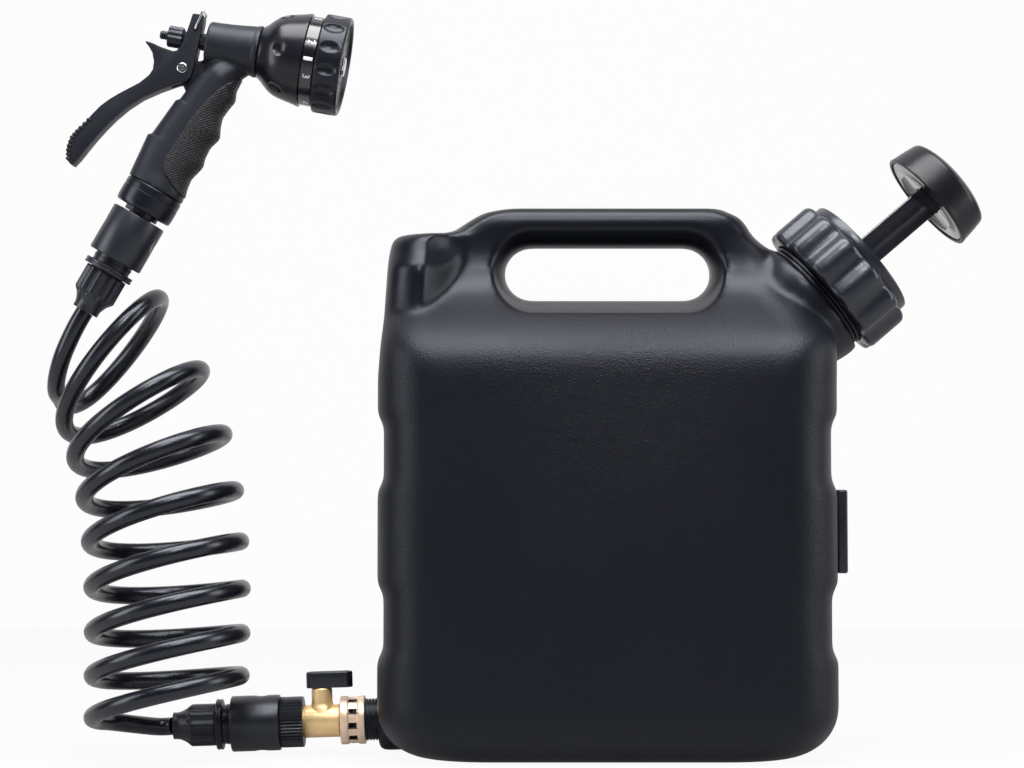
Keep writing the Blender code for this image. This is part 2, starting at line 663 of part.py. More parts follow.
def make_pump():
    """The air pump: gasket, cylinder, cap, check valve, and the plunger with its knob."""
    gasket_top = NECK_TOP + GAP + NECK_GASKET
    turned(
        "neck_gasket",
        [(NECK_BORE + 0.3 * MM, NECK_TOP + GAP), (NECK_RADIUS, NECK_TOP + GAP)]
        + [(NECK_RADIUS, gasket_top), (NECK_BORE + 0.3 * MM, gasket_top)],
        SOFT_RUBBER,
        PUMP,
    )
    flange = gasket_top + GAP
    bottom = flange - CYLINDER_LENGTH
    bore = CYLINDER_RADIUS - CYLINDER_WALL
    floor = bottom + CYLINDER_WALL
    port = 4 * MM
    cylinder_profile = [
        (bore, FLANGE_TOP),
        (bore, floor),
        (port, floor),
        (port, bottom),
        (CYLINDER_RADIUS, bottom),
        (CYLINDER_RADIUS, flange - 8 * MM),
        (CYLINDER_RADIUS + 4 * MM, flange),
        (NECK_RADIUS, flange),
        (NECK_RADIUS, FLANGE_TOP),
    ]
    turned("pump_cylinder", cylinder_profile, BLACK_PLASTIC, PUMP)
    valve_start = bottom - GAP - FOOT_VALVE_THICKNESS
    stud = port - GAP
    valve = [(0, valve_start), (FOOT_VALVE_RADIUS, valve_start), (FOOT_VALVE_RADIUS, bottom - GAP)]
    valve += [(stud, bottom - GAP), (stud, floor + 1.5 * MM), (0, floor + 1.5 * MM)]
    turned("pump_check_valve", valve, SOFT_RUBBER, PUMP)
    spigot = NECK_BORE - GAP
    cap_start = COLLAR_HEIGHT + GAP
    cap_end = cap_start + CAP_HEIGHT
    guide = (ROD_WIDTH / 2 + 0.4 * MM) / math.cos(math.pi / STEPS)
    cap = [
        (guide, FLANGE_TOP + GAP),
        (spigot, FLANGE_TOP + GAP),
        (spigot, cap_start),
        (CAP_RADIUS, cap_start),
        (CAP_RADIUS, cap_end - 1.5 * MM),
        (CAP_RADIUS - 1.5 * MM, cap_end),
        (guide + 5 * MM, cap_end),
        (guide + 4 * MM, cap_end - 2 * MM),
        (guide, cap_end - 2 * MM),
    ]
    turned("pump_cap", cap, BLACK_PLASTIC, PUMP)
    make_plunger(bore)


def make_plunger(bore):
    """The rod with its piston and seal below and its round knob above."""
    rod_start = -PISTON_DEPTH
    rod_end = KNOB_RIM + KNOB_SIDE - 2 * MM
    arm = ROD_WIDTH / 2
    web = ROD_WEB / 2
    cross = [(web, arm), (-web, arm), (-web, web), (-arm, web), (-arm, -web), (-web, -web)]
    cross += [(-web, -arm), (web, -arm), (web, -web), (arm, -web), (arm, web), (web, web)]
    rings = [[Vector((x, y, z)) for x, y in cross[::-1]] for z in (rod_start, rod_end)]
    skinned("plunger_rod", rings, BLACK_PLASTIC, PUMP)
    top = rod_start - GAP
    bottom = top - PISTON_LENGTH
    rim = bore - 0.3 * MM
    inner = rim - SEAL_GROOVE
    middle = (top + bottom) / 2
    groove = SEAL_GROOVE / 2
    piston = [(0, bottom), (rim, bottom), (rim, middle - groove), (inner, middle - groove)]
    piston += [(inner, middle + groove), (rim, middle + groove), (rim, top), (0, top)]
    turned("piston", piston, BLACK_PLASTIC, PUMP)
    seal = [(inner + GAP, middle - groove + GAP), (bore - 0.1 * MM, middle - groove + GAP)]
    seal += [(bore - 0.1 * MM, middle + groove - GAP), (inner + GAP, middle + groove - GAP)]
    turned("piston_seal", seal, SOFT_RUBBER, PUMP)
    rim_end = KNOB_RIM + KNOB_SIDE
    socket = (arm + 0.4 * MM) / math.cos(math.pi / STEPS)
    post = socket + 2.4 * MM
    knob = [(0, rim_end + KNOB_DOME)]
    for i in range(1, 6):
        angle = math.pi / 2 * i / 5
        knob.append((KNOB_TOP_RADIUS * math.sin(angle), rim_end + KNOB_DOME * math.cos(angle) ** 1.3))
    knob += [(KNOB_RADIUS, KNOB_RIM + 1.5 * MM), (KNOB_RADIUS - 1 * MM, KNOB_RIM)]
    knob += [(KNOB_RADIUS - KNOB_WALL, KNOB_RIM), (KNOB_TOP_RADIUS - KNOB_WALL, rim_end - 1 * MM)]
    knob += [(KNOB_TOP_RADIUS * 0.6, rim_end + KNOB_DOME * 0.35), (post, rim_end + KNOB_DOME * 0.4)]
    knob += [(post, KNOB_RIM + 4 * MM), (socket, KNOB_RIM + 4 * MM), (socket, rim_end - 1 * MM), (0, rim_end - 1 * MM)]
    turned("plunger_knob", knob, GLOSS_PLASTIC, PUMP)
    plate_start = KNOB_RIM + 2.4 * MM
    plate_radius = KNOB_RADIUS - KNOB_WALL - 1.0 * MM
    insert = [(socket, plate_start), (plate_radius, plate_start)]
    insert += [(plate_radius, plate_start + 1.3 * MM), (socket, plate_start + 1.3 * MM)]
    turned("knob_underside", insert, BLACK_PLASTIC, PUMP)


def make_outlet():
    """The threaded outlet stub through the boss, with its gasket and locknut inside the tank."""
    start = -BOSS_DEEP - OUTLET_GASKET - LOCKNUT_THICKNESS - 3 * GAP - 3 * MM
    stub = [(STUB_BORE, start), (STUB_RADIUS, start), (STUB_RADIUS, GAP)]
    stub += [(STUB_RADIUS + STUB_THREAD, 1 * MM), (STUB_RADIUS + STUB_THREAD, STUB_LENGTH - 1 * MM)]
    stub += [(STUB_RADIUS, STUB_LENGTH), (STUB_BORE, STUB_LENGTH)]
    turned("outlet_stub", stub, BLACK_PLASTIC, OUTLET)
    hole = STUB_RADIUS + GAP
    first = -BOSS_DEEP - GAP
    second = first - OUTLET_GASKET
    rim = LOCKNUT_RADIUS
    gasket = [(hole, second), (rim, second), (rim, first), (hole, first)]
    turned("outlet_gasket", gasket, SOFT_RUBBER, OUTLET)
    nut_end = second - GAP
    nut_start = nut_end - LOCKNUT_THICKNESS
    locknut = [(hole, nut_start), (rim, nut_start), (rim, nut_end), (hole, nut_end)]
    turned("outlet_locknut", locknut, BLACK_PLASTIC, OUTLET)


def make_swivel_nut():
    """The brass swivel nut on the stub and the washer that it squeezes."""
    end = NUT_START + NUT_LENGTH
    bore = STUB_RADIUS + STUB_THREAD + RUNNING
    rim = 3 * MM
    low = NUT_RADIUS - 0.9 * MM
    nut = [(bore, NUT_START), (NUT_RADIUS, NUT_START), (NUT_RADIUS, NUT_START + rim)]
    nut += [(low, NUT_START + rim), (low, end - rim), (NUT_RADIUS, end - rim), (NUT_RADIUS, end)]
    nut += [(TAIL_NECK + RUNNING, end), (TAIL_NECK + RUNNING, end - NUT_LIP), (bore, end - NUT_LIP)]
    turned("swivel_nut", nut, BRASS, OUTLET)
    washer_start = STUB_LENGTH + GAP
    washer_end = washer_start + TAP_WASHER
    rim = STUB_RADIUS
    washer = [(STUB_BORE, washer_start), (rim, washer_start), (rim, washer_end), (STUB_BORE, washer_end)]
    turned("swivel_washer", washer, SOFT_RUBBER, OUTLET)


def make_tap():
    """The brass ball tap: tailpiece, body, ball, seats, stem, packing and lever."""
    end = NUT_START + NUT_LENGTH
    flange_start = STUB_LENGTH + GAP + TAP_WASHER + GAP
    flange_end = end - NUT_LIP - GAP
    plug_end = TAP_MIDDLE - BALL_RADIUS - GAP
    plug = TAP_CHAMBER - GAP
    tail = [(TAP_BORE, flange_start), (STUB_RADIUS - 0.6 * MM, flange_start), (STUB_RADIUS - 0.6 * MM, flange_end)]
    tail += [(TAIL_NECK, flange_end), (TAIL_NECK, end + GAP), (plug, end + GAP), (plug, plug_end), (TAP_BORE, plug_end)]
    turned("tap_tailpiece", tail, BRASS, OUTLET)
    chamber_end = TAP_MIDDLE + BALL_RADIUS + GAP
    spigot_end = TAP_END + TAP_SPIGOT_LENGTH
    body_start = end + 2 * GAP
    body = [(0, body_start), (TAP_RADIUS, body_start), (TAP_RADIUS, TAP_END)]
    body += [(TAP_SPIGOT_RADIUS, TAP_END), (TAP_SPIGOT_RADIUS, spigot_end), (0, spigot_end)]
    tap = turned("tap_body", body, BRASS, OUTLET)
    upright = frame_at(OUTLET @ Vector((0, 0, TAP_MIDDLE)), OUTLET.col[0].xyz)
    join(tap, cylinder("post", TAP_POST_RADIUS, TAP_CHAMBER / 2, TAP_POST_TOP, BRASS, upright))
    cut(tap, cylinder("chamber", TAP_CHAMBER, body_start - 2 * MM, chamber_end, BRASS, OUTLET))
    cut(tap, cylinder("bore", TAP_BORE, body_start - 2 * MM, spigot_end + 2 * MM, BRASS, OUTLET))
    cut(tap, cylinder("bore", STEM_RADIUS + 0.25 * MM, 4 * MM, TAP_POST_TOP + 2 * MM, BRASS, upright, FEW_STEPS))
    well = TAP_POST_TOP - PACKING_HEIGHT - GAP
    cut(tap, cylinder("well", STEM_RADIUS + 2 * MM, well, TAP_POST_TOP + 2 * MM, BRASS, upright, FEW_STEPS))
    packing = [(STEM_RADIUS + 0.3 * MM, well + GAP), (STEM_RADIUS + 1.7 * MM, well + GAP)]
    packing += [(STEM_RADIUS + 1.7 * MM, TAP_POST_TOP), (STEM_RADIUS + 0.3 * MM, TAP_POST_TOP)]
    turned("stem_packing", packing, SOFT_RUBBER, upright, FEW_STEPS)
    ball_centre = frame_at(upright.translation, OUTLET.col[2].xyz)
    outline = []
    for i in range(7):
        angle = math.asin((TAP_BORE - GAP) / BALL_RADIUS)
        angle += (math.pi - 2 * angle) * i / 6
        outline.append((BALL_RADIUS * math.sin(angle), -BALL_RADIUS * math.cos(angle)))
    ball = turned("tap_ball", outline, STEEL, ball_centre)
    flat = BALL_RADIUS - 1.6 * MM
    cut(ball, cylinder("flat", 4 * MM, flat, BALL_RADIUS + 2 * MM, STEEL, upright, FEW_STEPS))
    for name, side in (("tap_seat_inner", -1), ("tap_seat_outer", 1)):
        near = TAP_MIDDLE + side * (BALL_RADIUS - SEAT_THICKNESS)
        far = TAP_MIDDLE + side * BALL_RADIUS
        rim = TAP_CHAMBER - GAP
        lip = math.sqrt(BALL_RADIUS ** 2 - (BALL_RADIUS - SEAT_THICKNESS) ** 2) + 0.4 * MM
        seat = [(TAP_BORE + 0.6 * MM, far), (rim, far), (rim, near), (lip, near)]
        turned(name, seat, WHITE_PLASTIC, OUTLET)
    cylinder("tap_stem", STEM_RADIUS, flat + GAP, TAP_POST_TOP + 3 * MM, BRASS, upright, FEW_STEPS)
    make_tap_lever(upright)


def make_tap_lever(upright):
    """The black lever of the tap and the screw that holds it on the stem."""
    low = TAP_POST_TOP + GAP
    high = low + LEVER_THICKNESS
    radius = LEVER_WIDTH / 2
    rings = []
    for z, shrink in ((low, 0.4), (low + 1.5 * MM, 0.0), (high - 2.5 * MM, 0.0), (high, 2.0)):
        ring = []
        for side in (1, -1):
            for i in range(5):
                angle = math.radians(-90 + 180 * i / 4) + (0 if side > 0 else math.pi)
                x = side * (LEVER_LENGTH / 2 - radius) + (radius - shrink * MM) * math.cos(angle)
                ring.append(Vector((LEVER_SHIFT + x, (radius - shrink * MM) * math.sin(angle), z)))
        rings.append(ring)
    place = frame_at(upright.translation, upright.col[2].xyz)
    lever = skinned("tap_lever", rings, BLACK_PLASTIC, place)
    stem_hole = STEM_RADIUS + 0.3 * MM
    cut(lever, cylinder("hole", stem_hole, low - 2 * MM, TAP_POST_TOP + 3.5 * MM, BLACK_PLASTIC, place, FEW_STEPS))
    head = 3.2 * MM
    cut(lever, cylinder("hole", head + GAP, high - 2.4 * MM, high + 2 * MM, BLACK_PLASTIC, place, FEW_STEPS))
    cut(lever, cylinder("hole", 1.6 * MM, TAP_POST_TOP, high, BLACK_PLASTIC, place, FEW_STEPS))
    screw = [(0, TAP_POST_TOP + 3 * MM + GAP), (1.4 * MM, TAP_POST_TOP + 3 * MM + GAP), (1.4 * MM, high - 2 * MM)]
    screw += [(head, high - 2 * MM), (head, high - 0.6 * MM), (0, high - 0.3 * MM)]
    turned("tap_lever_screw", screw, STEEL, place, FEW_STEPS)


def make_hose_connector(prefix, place):
    """The hose half of a quick connector: ribbed nut, body, sliding sleeve and O-ring."""
    hose = HOSE_DIAMETER / 2
    rib_start = RELIEF_LENGTH + 1.5 * MM
    thread = CONNECTOR_NECK - 1.5 * MM
    outer = [
        (RELIEF_RADIUS, 0, True),
        (HOSE_NUT_RADIUS - 3 * MM, RELIEF_LENGTH, True),
        (HOSE_NUT_RADIUS, rib_start, False),
        (HOSE_NUT_RADIUS, HOSE_NUT_END - 1 * MM, False),
        (HOSE_NUT_RADIUS - 1 * MM, HOSE_NUT_END, False),
        (thread + GAP, HOSE_NUT_END, True),
        (thread + GAP, RELIEF_LENGTH + 2 * MM, True),
        (hose + GAP, RELIEF_LENGTH - 2 * MM, True),
        (hose + GAP, 0, True),
    ]
    rings = [fluted_ring(r, HOSE_NUT_RIB, HOSE_NUT_RIBS, z, flat=flat) for r, z, flat in outer]
    skinned(prefix + "_hose_nut", rings, BLACK_PLASTIC, place, ring_shaped=True)
    flange = HOSE_NUT_END + GAP
    flange_end = flange + CONNECTOR_FLANGE
    socket_end = SLEEVE_END - 3 * MM
    socket_start = socket_end - SOCKET_DEPTH
    inside = SLEEVE_RADIUS - SLEEVE_WALL - RUNNING
    stop = SLEEVE_START + 1.4 * MM
    stop_end = stop + 1.5 * MM
    ledge = stop_end + SLEEVE_TRAVEL + SLEEVE_SPRING + 3 * GAP
    ledge_end = ledge + 1.8 * MM
    body = [
        (WATERWAY, 3 * MM),
        (BARB_RADIUS, 3 * MM),
        (BARB_RADIUS, RELIEF_LENGTH + 3 * MM),
        (thread, RELIEF_LENGTH + 3 * MM),
        (thread, flange),
        (CONNECTOR_FLANGE_RADIUS, flange),
        (CONNECTOR_FLANGE_RADIUS, flange_end),
        (CONNECTOR_NECK, flange_end),
        (CONNECTOR_NECK, stop),
        (inside, stop),
        (inside, stop_end),
        (CONNECTOR_NECK, stop_end),
        (CONNECTOR_NECK, ledge_end + GAP),
        (inside, ledge_end + GAP),
        (inside, socket_end),
        (SOCKET_RADIUS, socket_end),
        (SOCKET_RADIUS, socket_start),
        (WATERWAY, socket_start),
    ]
    turned(prefix + "_connector_body", body, BLACK_PLASTIC, place)
    o_ring = [(NIPPLE_RADIUS - O_RING, socket_start + GAP), (SOCKET_RADIUS - GAP, socket_start + GAP)]
    o_ring += [(r, z + O_RING) for r, z in o_ring[::-1]]
    turned(prefix + "_o_ring", o_ring, SOFT_RUBBER, place)
    bore = SLEEVE_RADIUS - SLEEVE_WALL
    lip = CONNECTOR_NECK + RUNNING
    sleeve = [(bore, SLEEVE_START), (SLEEVE_RADIUS - 0.8 * MM, SLEEVE_START), (SLEEVE_RADIUS, SLEEVE_START + 1 * MM)]
    sleeve += [(SLEEVE_RADIUS, SLEEVE_END - 1 * MM), (SLEEVE_RADIUS - 0.8 * MM, SLEEVE_END)]
    sleeve += [(bore, SLEEVE_END), (bore, ledge_end), (lip, ledge_end), (lip, ledge), (bore, ledge)]
    turned(prefix + "_sleeve", sleeve, BLACK_PLASTIC, place)
    spring_end = ledge - GAP
    spring = [(CONNECTOR_NECK + 0.5 * MM, spring_end - SLEEVE_SPRING), (bore - 0.5 * MM, spring_end - SLEEVE_SPRING)]
    spring += [(bore - 0.5 * MM, spring_end), (CONNECTOR_NECK + 0.5 * MM, spring_end)]
    turned(prefix + "_sleeve_spring", spring, STEEL, place)


def nipple_profile():
    """The inner and outer line of a plug that fits the quick connector's socket."""
    start = SLEEVE_END - 3 * MM - SOCKET_DEPTH + 2 * GAP + O_RING
    return [(WATERWAY, start), (NIPPLE_RADIUS, start)]


def make_tap_adaptor():
    """The ribbed adaptor between the tap and the lower quick connector."""
    start = SLEEVE_END + GAP
    end = start + ADAPTOR_LENGTH
    thread = TAP_SPIGOT_RADIUS + GAP
    seat = end - TAP_SPIGOT_LENGTH - ADAPTOR_WASHER - 2 * GAP
    adaptor = nipple_profile() + [
        (NIPPLE_RADIUS, start),
        (ADAPTOR_RADIUS, start),
        (ADAPTOR_RADIUS, end - GAP),
        (thread, end - GAP),
        (thread, seat),
        (WATERWAY, seat),
    ]
    turned("tap_adaptor", adaptor, BLACK_PLASTIC, LOWER)
    low = seat + GAP
    washer = [(TAP_BORE, low), (TAP_SPIGOT_RADIUS, low)]
    washer += [(r, z + ADAPTOR_WASHER) for r, z in washer[::-1]]
    turned("tap_adaptor_washer", washer, SOFT_RUBBER, LOWER)


def coil_point(turn):
    """A point of the coil's centreline; whole turns are at its right, half turns at its left."""
    share = max(turn, 0.0) / COIL_TURNS
    radius = COIL_RADIUS + COIL_WIDENING * share
    x = COIL_X + COIL_LEAN * share ** 3.5
    y = -COIL_RADIUS + COIL_DRIFT * share ** 2
    z = COIL_Z + COIL_RISE * turn + COIL_STRETCH * share ** 2
    tilt = COIL_TILT + COIL_TOP_TILT * share ** 4.2
    nod = COIL_NOD + COIL_TOP_NOD * share ** 3
    across = Vector((math.cos(tilt), 0, math.sin(tilt)))
    forward = Vector((0, -math.cos(nod), math.sin(nod)))
    angle = math.tau * turn
    return Vector((x, y, z)) + radius * (math.cos(angle) * across - math.sin(angle) * forward)


def smooth_line(points, parts):
    """Points on a smooth curve through the given ones."""
    line = []
    for i in range(len(points) - 1):
        before = points[max(i - 1, 0)]
        after = points[min(i + 2, len(points) - 1)]
        a, b = points[i], points[i + 1]
        for j in range(parts):
            t = j / parts
            pull = (b - before) * (t ** 3 - 2 * t ** 2 + t) / 2
            push = (after - a) * (t ** 3 - t ** 2) / 2
            line.append(a * (2 * t ** 3 - 3 * t ** 2 + 1) + b * (3 * t ** 2 - 2 * t ** 3) + pull + push)
    return line + [points[-1]]


def hose_line():
    """The hose's centreline from the lower connector to the upper one."""
    start = LOWER @ Vector((0, 0, -GAP))
    straight = LOWER @ Vector((0, 0, -GAP - HOSE_DIAMETER))
    turns = COIL_LAST - COIL_FIRST
    count = round(turns * COIL_POINTS)
    coil = [coil_point(COIL_FIRST + turns * i / count) for i in range(count + 1)]
    end = UPPER @ Vector((0, 0, -GAP))
    straight_end = UPPER @ Vector((0, 0, -GAP - HOSE_DIAMETER))
    lead_in = smooth_line([start, straight, coil[2]], 2)[:-1]
    lead_out = smooth_line([coil[-2], coil[-1]] + [Vector(p) for p in LEAD_ROUTE] + [straight_end, end], 2)
    return lead_in + coil[2:-2] + lead_out


def least_gap(points):
    """The least distance between the hose's surface and itself, away from each point's neighbours."""
    skip = 8
    least = min(
        (a - b).length for i, a in enumerate(points) for b in points[i + skip:]
    )
    return least - HOSE_DIAMETER


def make_hose():
    """The coiled hose, one unbroken tube."""
    points = hose_line()
    length = sum((b - a).length for a, b in zip(points, points[1:]))
    print(f"coil_hose: length {length:.4f} m, least gap to itself {least_gap(points) / MM:.2f} mm")
    curve = bpy.data.curves.new("coil_hose", "CURVE")
    curve.dimensions = "3D"
    curve.bevel_depth = HOSE_DIAMETER / 2
    curve.bevel_resolution = 1
    curve.use_fill_caps = True
    spline = curve.splines.new("POLY")
    spline.points.add(len(points) - 1)
    for place, point in zip(spline.points, points):
        place.co = (*point, 1)
    hose = bpy.data.objects.new("coil_hose", curve)
    bpy.context.scene.collection.objects.link(hose)
    paint(hose, HOSE_PLASTIC)


def grip_section(along, extra=0.0):
    """The grip's outline across its axis, with finger waves on its front."""
    share = (along - TAIL_START) / (GRIP_END - TAIL_START)
    wave = FINGER_WAVE * math.cos(math.tau * (along - FINGER_FIRST) / FINGER_PITCH)
    front = GRIP_FRONT - GRIP_SLIM * share + wave * ease((along - TAIL_START - 16 * MM) / (8 * MM))
    swell = 1.6 * MM * math.sin(math.pi * min(share * 1.6, 1.0))
    rear = GRIP_REAR - 1.2 * MM + swell - GRIP_SLIM_REAR * ease(share * 1.25 - 0.2)
    thick = GRIP_HALF_THICKNESS - 1.5 * MM * share
    ring = []
    for i in range(GRIP_POINTS):
        angle = math.tau * i / GRIP_POINTS
        reach = front if math.cos(angle) > 0 else rear
        bulge = 1 + 0.06 * math.sin(2 * angle) ** 2
        x = (reach + extra) * math.cos(angle) * bulge
        y = (thick + extra) * math.sin(angle) * bulge
        ring.append(Vector((x, y, along)))
    return ring


def grip_levels():
    """Places along the grip, three to a finger wave."""
    start = TAIL_START + TAIL_LENGTH + GAP
    count = int((GRIP_END - start) / (FINGER_PITCH / 3))
    return [start + (GRIP_END - start) * i / count for i in range(count + 1)]


def make_gun_body():
    """The gun's one-piece barrel and grip, with the lug that carries the lever."""
    levels = grip_levels()
    start = levels[0]
    gun = skinned("gun_body", [grip_section(z) for z in levels], SOFT_RUBBER, UPPER)
    spigot_start = TAIL_START + 2 * MM
    join(gun, cylinder("spigot", TAIL_SPIGOT, spigot_start, start + 2 * MM, SOFT_RUBBER, UPPER))
    barrel = [
        (0, 0),
        (BARREL_RADIUS - 1 * MM, 0),
        (BARREL_RADIUS, 1 * MM),
        (BARREL_RADIUS + 0.6 * MM, BARREL_LENGTH * 0.4),
        (BARREL_FRONT_RADIUS - 0.8 * MM, BARREL_LENGTH * 0.8),
        (BARREL_FRONT_RADIUS, BARREL_LENGTH),
        (0, BARREL_LENGTH),
    ]
    join(gun, turned("barrel", barrel, SOFT_RUBBER, HEAD))
    along, above = PIVOT
    lug = [(6 * MM, above + 10 * MM)]
    for i in range(6):
        angle = math.radians(80 + 150 * i / 5)
        lug.append((along + LUG_RADIUS * math.cos(angle), above + LUG_RADIUS * math.sin(angle)))
    lug += [(along + 5 * MM, above - 15 * MM), (6 * MM, above - 22 * MM)]
    join(gun, plate("lug", lug, LUG_HALF, SOFT_RUBBER, HEAD))
    head_axis = HEAD.translation - UPPER.translation
    meet = head_axis.dot(UPPER.col[2].xyz) - 8 * MM
    cut(gun, cylinder("waterway", GRIP_BORE, spigot_start - 2 * MM, meet, SOFT_RUBBER, UPPER, FEW_STEPS))
    thread = GUN_THREAD_RADIUS + GAP
    thread_end = TAIL_START + TAIL_LENGTH - 2 * MM
    cut(gun, cylinder("thread", thread, spigot_start - 2 * MM, thread_end, SOFT_RUBBER, UPPER))
    cut(gun, cylinder("bore", BARREL_BORE, BARREL_BACK, BARREL_LENGTH + 5 * MM, SOFT_RUBBER, HEAD))
    cut(gun, cylinder("gland", PACKING_SPIGOT + GAP, -2 * MM, BARREL_BACK + 2 * MM, SOFT_RUBBER, HEAD, FEW_STEPS))
    pin = frame_at(HEAD @ Vector((above, 0, along)), (0, 1, 0), (0, 0, 1))
    cut(gun, cylinder("pin_hole", PIN_RADIUS + 0.15 * MM, -0.02, 0.02, SOFT_RUBBER, pin, FEW_STEPS))


def make_gun_tail():
    """The gloss ring at the grip's foot and the nipple that plugs into the upper connector."""
    ring = [
        (TAIL_SPIGOT + GAP, TAIL_START),
        (TAIL_RADIUS - 1.5 * MM, TAIL_START),
        (TAIL_RADIUS, TAIL_START + 1.5 * MM),
        (TAIL_RADIUS, TAIL_START + TAIL_LENGTH - 1.5 * MM),
        (TAIL_RADIUS - 1 * MM, TAIL_START + TAIL_LENGTH),
        (TAIL_SPIGOT + GAP, TAIL_START + TAIL_LENGTH),
    ]
    turned("gun_tail_ring", ring, GLOSS_PLASTIC, UPPER)
    collar = SLEEVE_END + 1 * MM
    thread_end = TAIL_START + TAIL_LENGTH - 3 * MM
    nipple = nipple_profile() + [
        (NIPPLE_RADIUS, collar),
        (TAIL_SPIGOT - 3 * MM, collar),
        (TAIL_SPIGOT - 3 * MM, TAIL_START + 1.5 * MM),
        (GUN_THREAD_RADIUS, TAIL_START + 1.5 * MM),
        (GUN_THREAD_RADIUS, thread_end),
        (WATERWAY, thread_end),
    ]
    turned("gun_nipple", nipple, BLACK_PLASTIC, UPPER)


def make_gun_front():
    """The bell, the numbered ring, the core with its post, and the turning spray dial."""
    back = BARREL_LENGTH + GAP
    spigot = BARREL_BORE - GAP
    bore = BELL_BORE
    bell = [
        (bore, back - BELL_SPIGOT),
        (spigot, back - BELL_SPIGOT),
        (spigot, back),
        (BARREL_FRONT_RADIUS, back),
        (BARREL_FRONT_RADIUS + 2.6 * MM, back + 4 * MM),
        (BELL_SWELL_RADIUS - 3 * MM, back + 9 * MM),
        (BELL_SWELL_RADIUS, back + 15 * MM),
        (BELL_RADIUS - 0.8 * MM, BELL_END - 8 * MM),
        (BELL_RADIUS, BELL_END),
        (BELL_RADIUS - BELL_WALL, BELL_END),
        (BELL_RADIUS - BELL_WALL - 0.8 * MM, BELL_END - 8 * MM),
        (BELL_SWELL_RADIUS - BELL_WALL - 1 * MM, back + 16 * MM),
        (bore, back + 6 * MM),
    ]
    turned("gun_bell", bell, SOFT_RUBBER, HEAD)
    ring_start = BELL_END + GAP
    ring_end = ring_start + RING_LENGTH
    core_radius = RING_RADIUS - 3.4 * MM
    ring = [(core_radius, ring_start), (RING_RADIUS, ring_start), (RING_RADIUS, ring_end), (core_radius, ring_end)]
    turned("number_ring", ring, BLACK_PLASTIC, HEAD)
    dial_start = ring_end + 0.6 * MM
    dial_end = dial_start + DIAL_LENGTH
    face_start = dial_end - FACE_RECESS - FACE_THICKNESS
    post_end = face_start + FACE_THICKNESS + 0.4 * MM
    disc_radius = core_radius - GAP
    disc_start = BELL_END - 6 * MM
    core = [
        (0, disc_start),
        (disc_radius, disc_start),
        (disc_radius, ring_end - 1 * MM),
        (CORE_POST + 6 * MM, ring_end - 1 * MM),
        (CORE_POST, ring_end + 1 * MM),
        (CORE_POST, post_end),
        (0, post_end),
    ]
    item = turned("spray_core", core, BLACK_PLASTIC, HEAD)
    for i in range(2):
        angle = math.pi * i
        x = disc_radius * 0.6 * math.cos(angle)
        port = HEAD @ Matrix.Translation((x, 0, 0))
        cut(item, cylinder("port", 2.5 * MM, disc_start - 2 * MM, ring_end + 4 * MM, BLACK_PLASTIC, port, 12))
    outer = [(DIAL_RADIUS - 1.2 * MM, dial_start), (DIAL_RADIUS, dial_start + 1.2 * MM)]
    outer += [(DIAL_RADIUS, dial_end - 1.8 * MM), (DIAL_RADIUS - 1.8 * MM, dial_end)]
    inner = DIAL_RADIUS - DIAL_FLUTE - DIAL_WALL
    rings = [fluted_ring(r, DIAL_FLUTE, DIAL_LOBES, z, DIAL_POINTS) for r, z in outer]
    rings += [fluted_ring(inner, 0, DIAL_LOBES, z, DIAL_POINTS, True) for z in (dial_end, dial_start)]
    skinned("spray_dial", rings, SOFT_RUBBER, HEAD, ring_shaped=True)
    rim = inner * math.cos(math.pi / (DIAL_LOBES * DIAL_POINTS)) - GAP
    hub = CORE_POST + RUNNING
    face = [(hub, face_start), (rim, face_start), (rim, face_start + FACE_THICKNESS), (hub, face_start + FACE_THICKNESS)]
    face_item = turned("dial_face", face, BLACK_PLASTIC, HEAD)
    for i in range(NOZZLE_HOLES):
        angle = math.tau * i / NOZZLE_HOLES
        spot = Matrix.Translation((NOZZLE_CIRCLE * math.cos(angle), NOZZLE_CIRCLE * math.sin(angle), 0))
        tool = cylinder("jet", NOZZLE_RADIUS, face_start - 2 * MM, dial_end, BLACK_PLASTIC, HEAD @ spot, 6)
        cut(face_item, tool)
    screw_start = post_end + GAP
    screw = [(0, screw_start), (CORE_POST + 2.5 * MM, screw_start), (CORE_POST + 2 * MM, screw_start + 1.2 * MM)]
    screw += [(0, screw_start + 1.6 * MM)]
    turned("dial_screw", screw, STEEL, HEAD, FEW_STEPS)


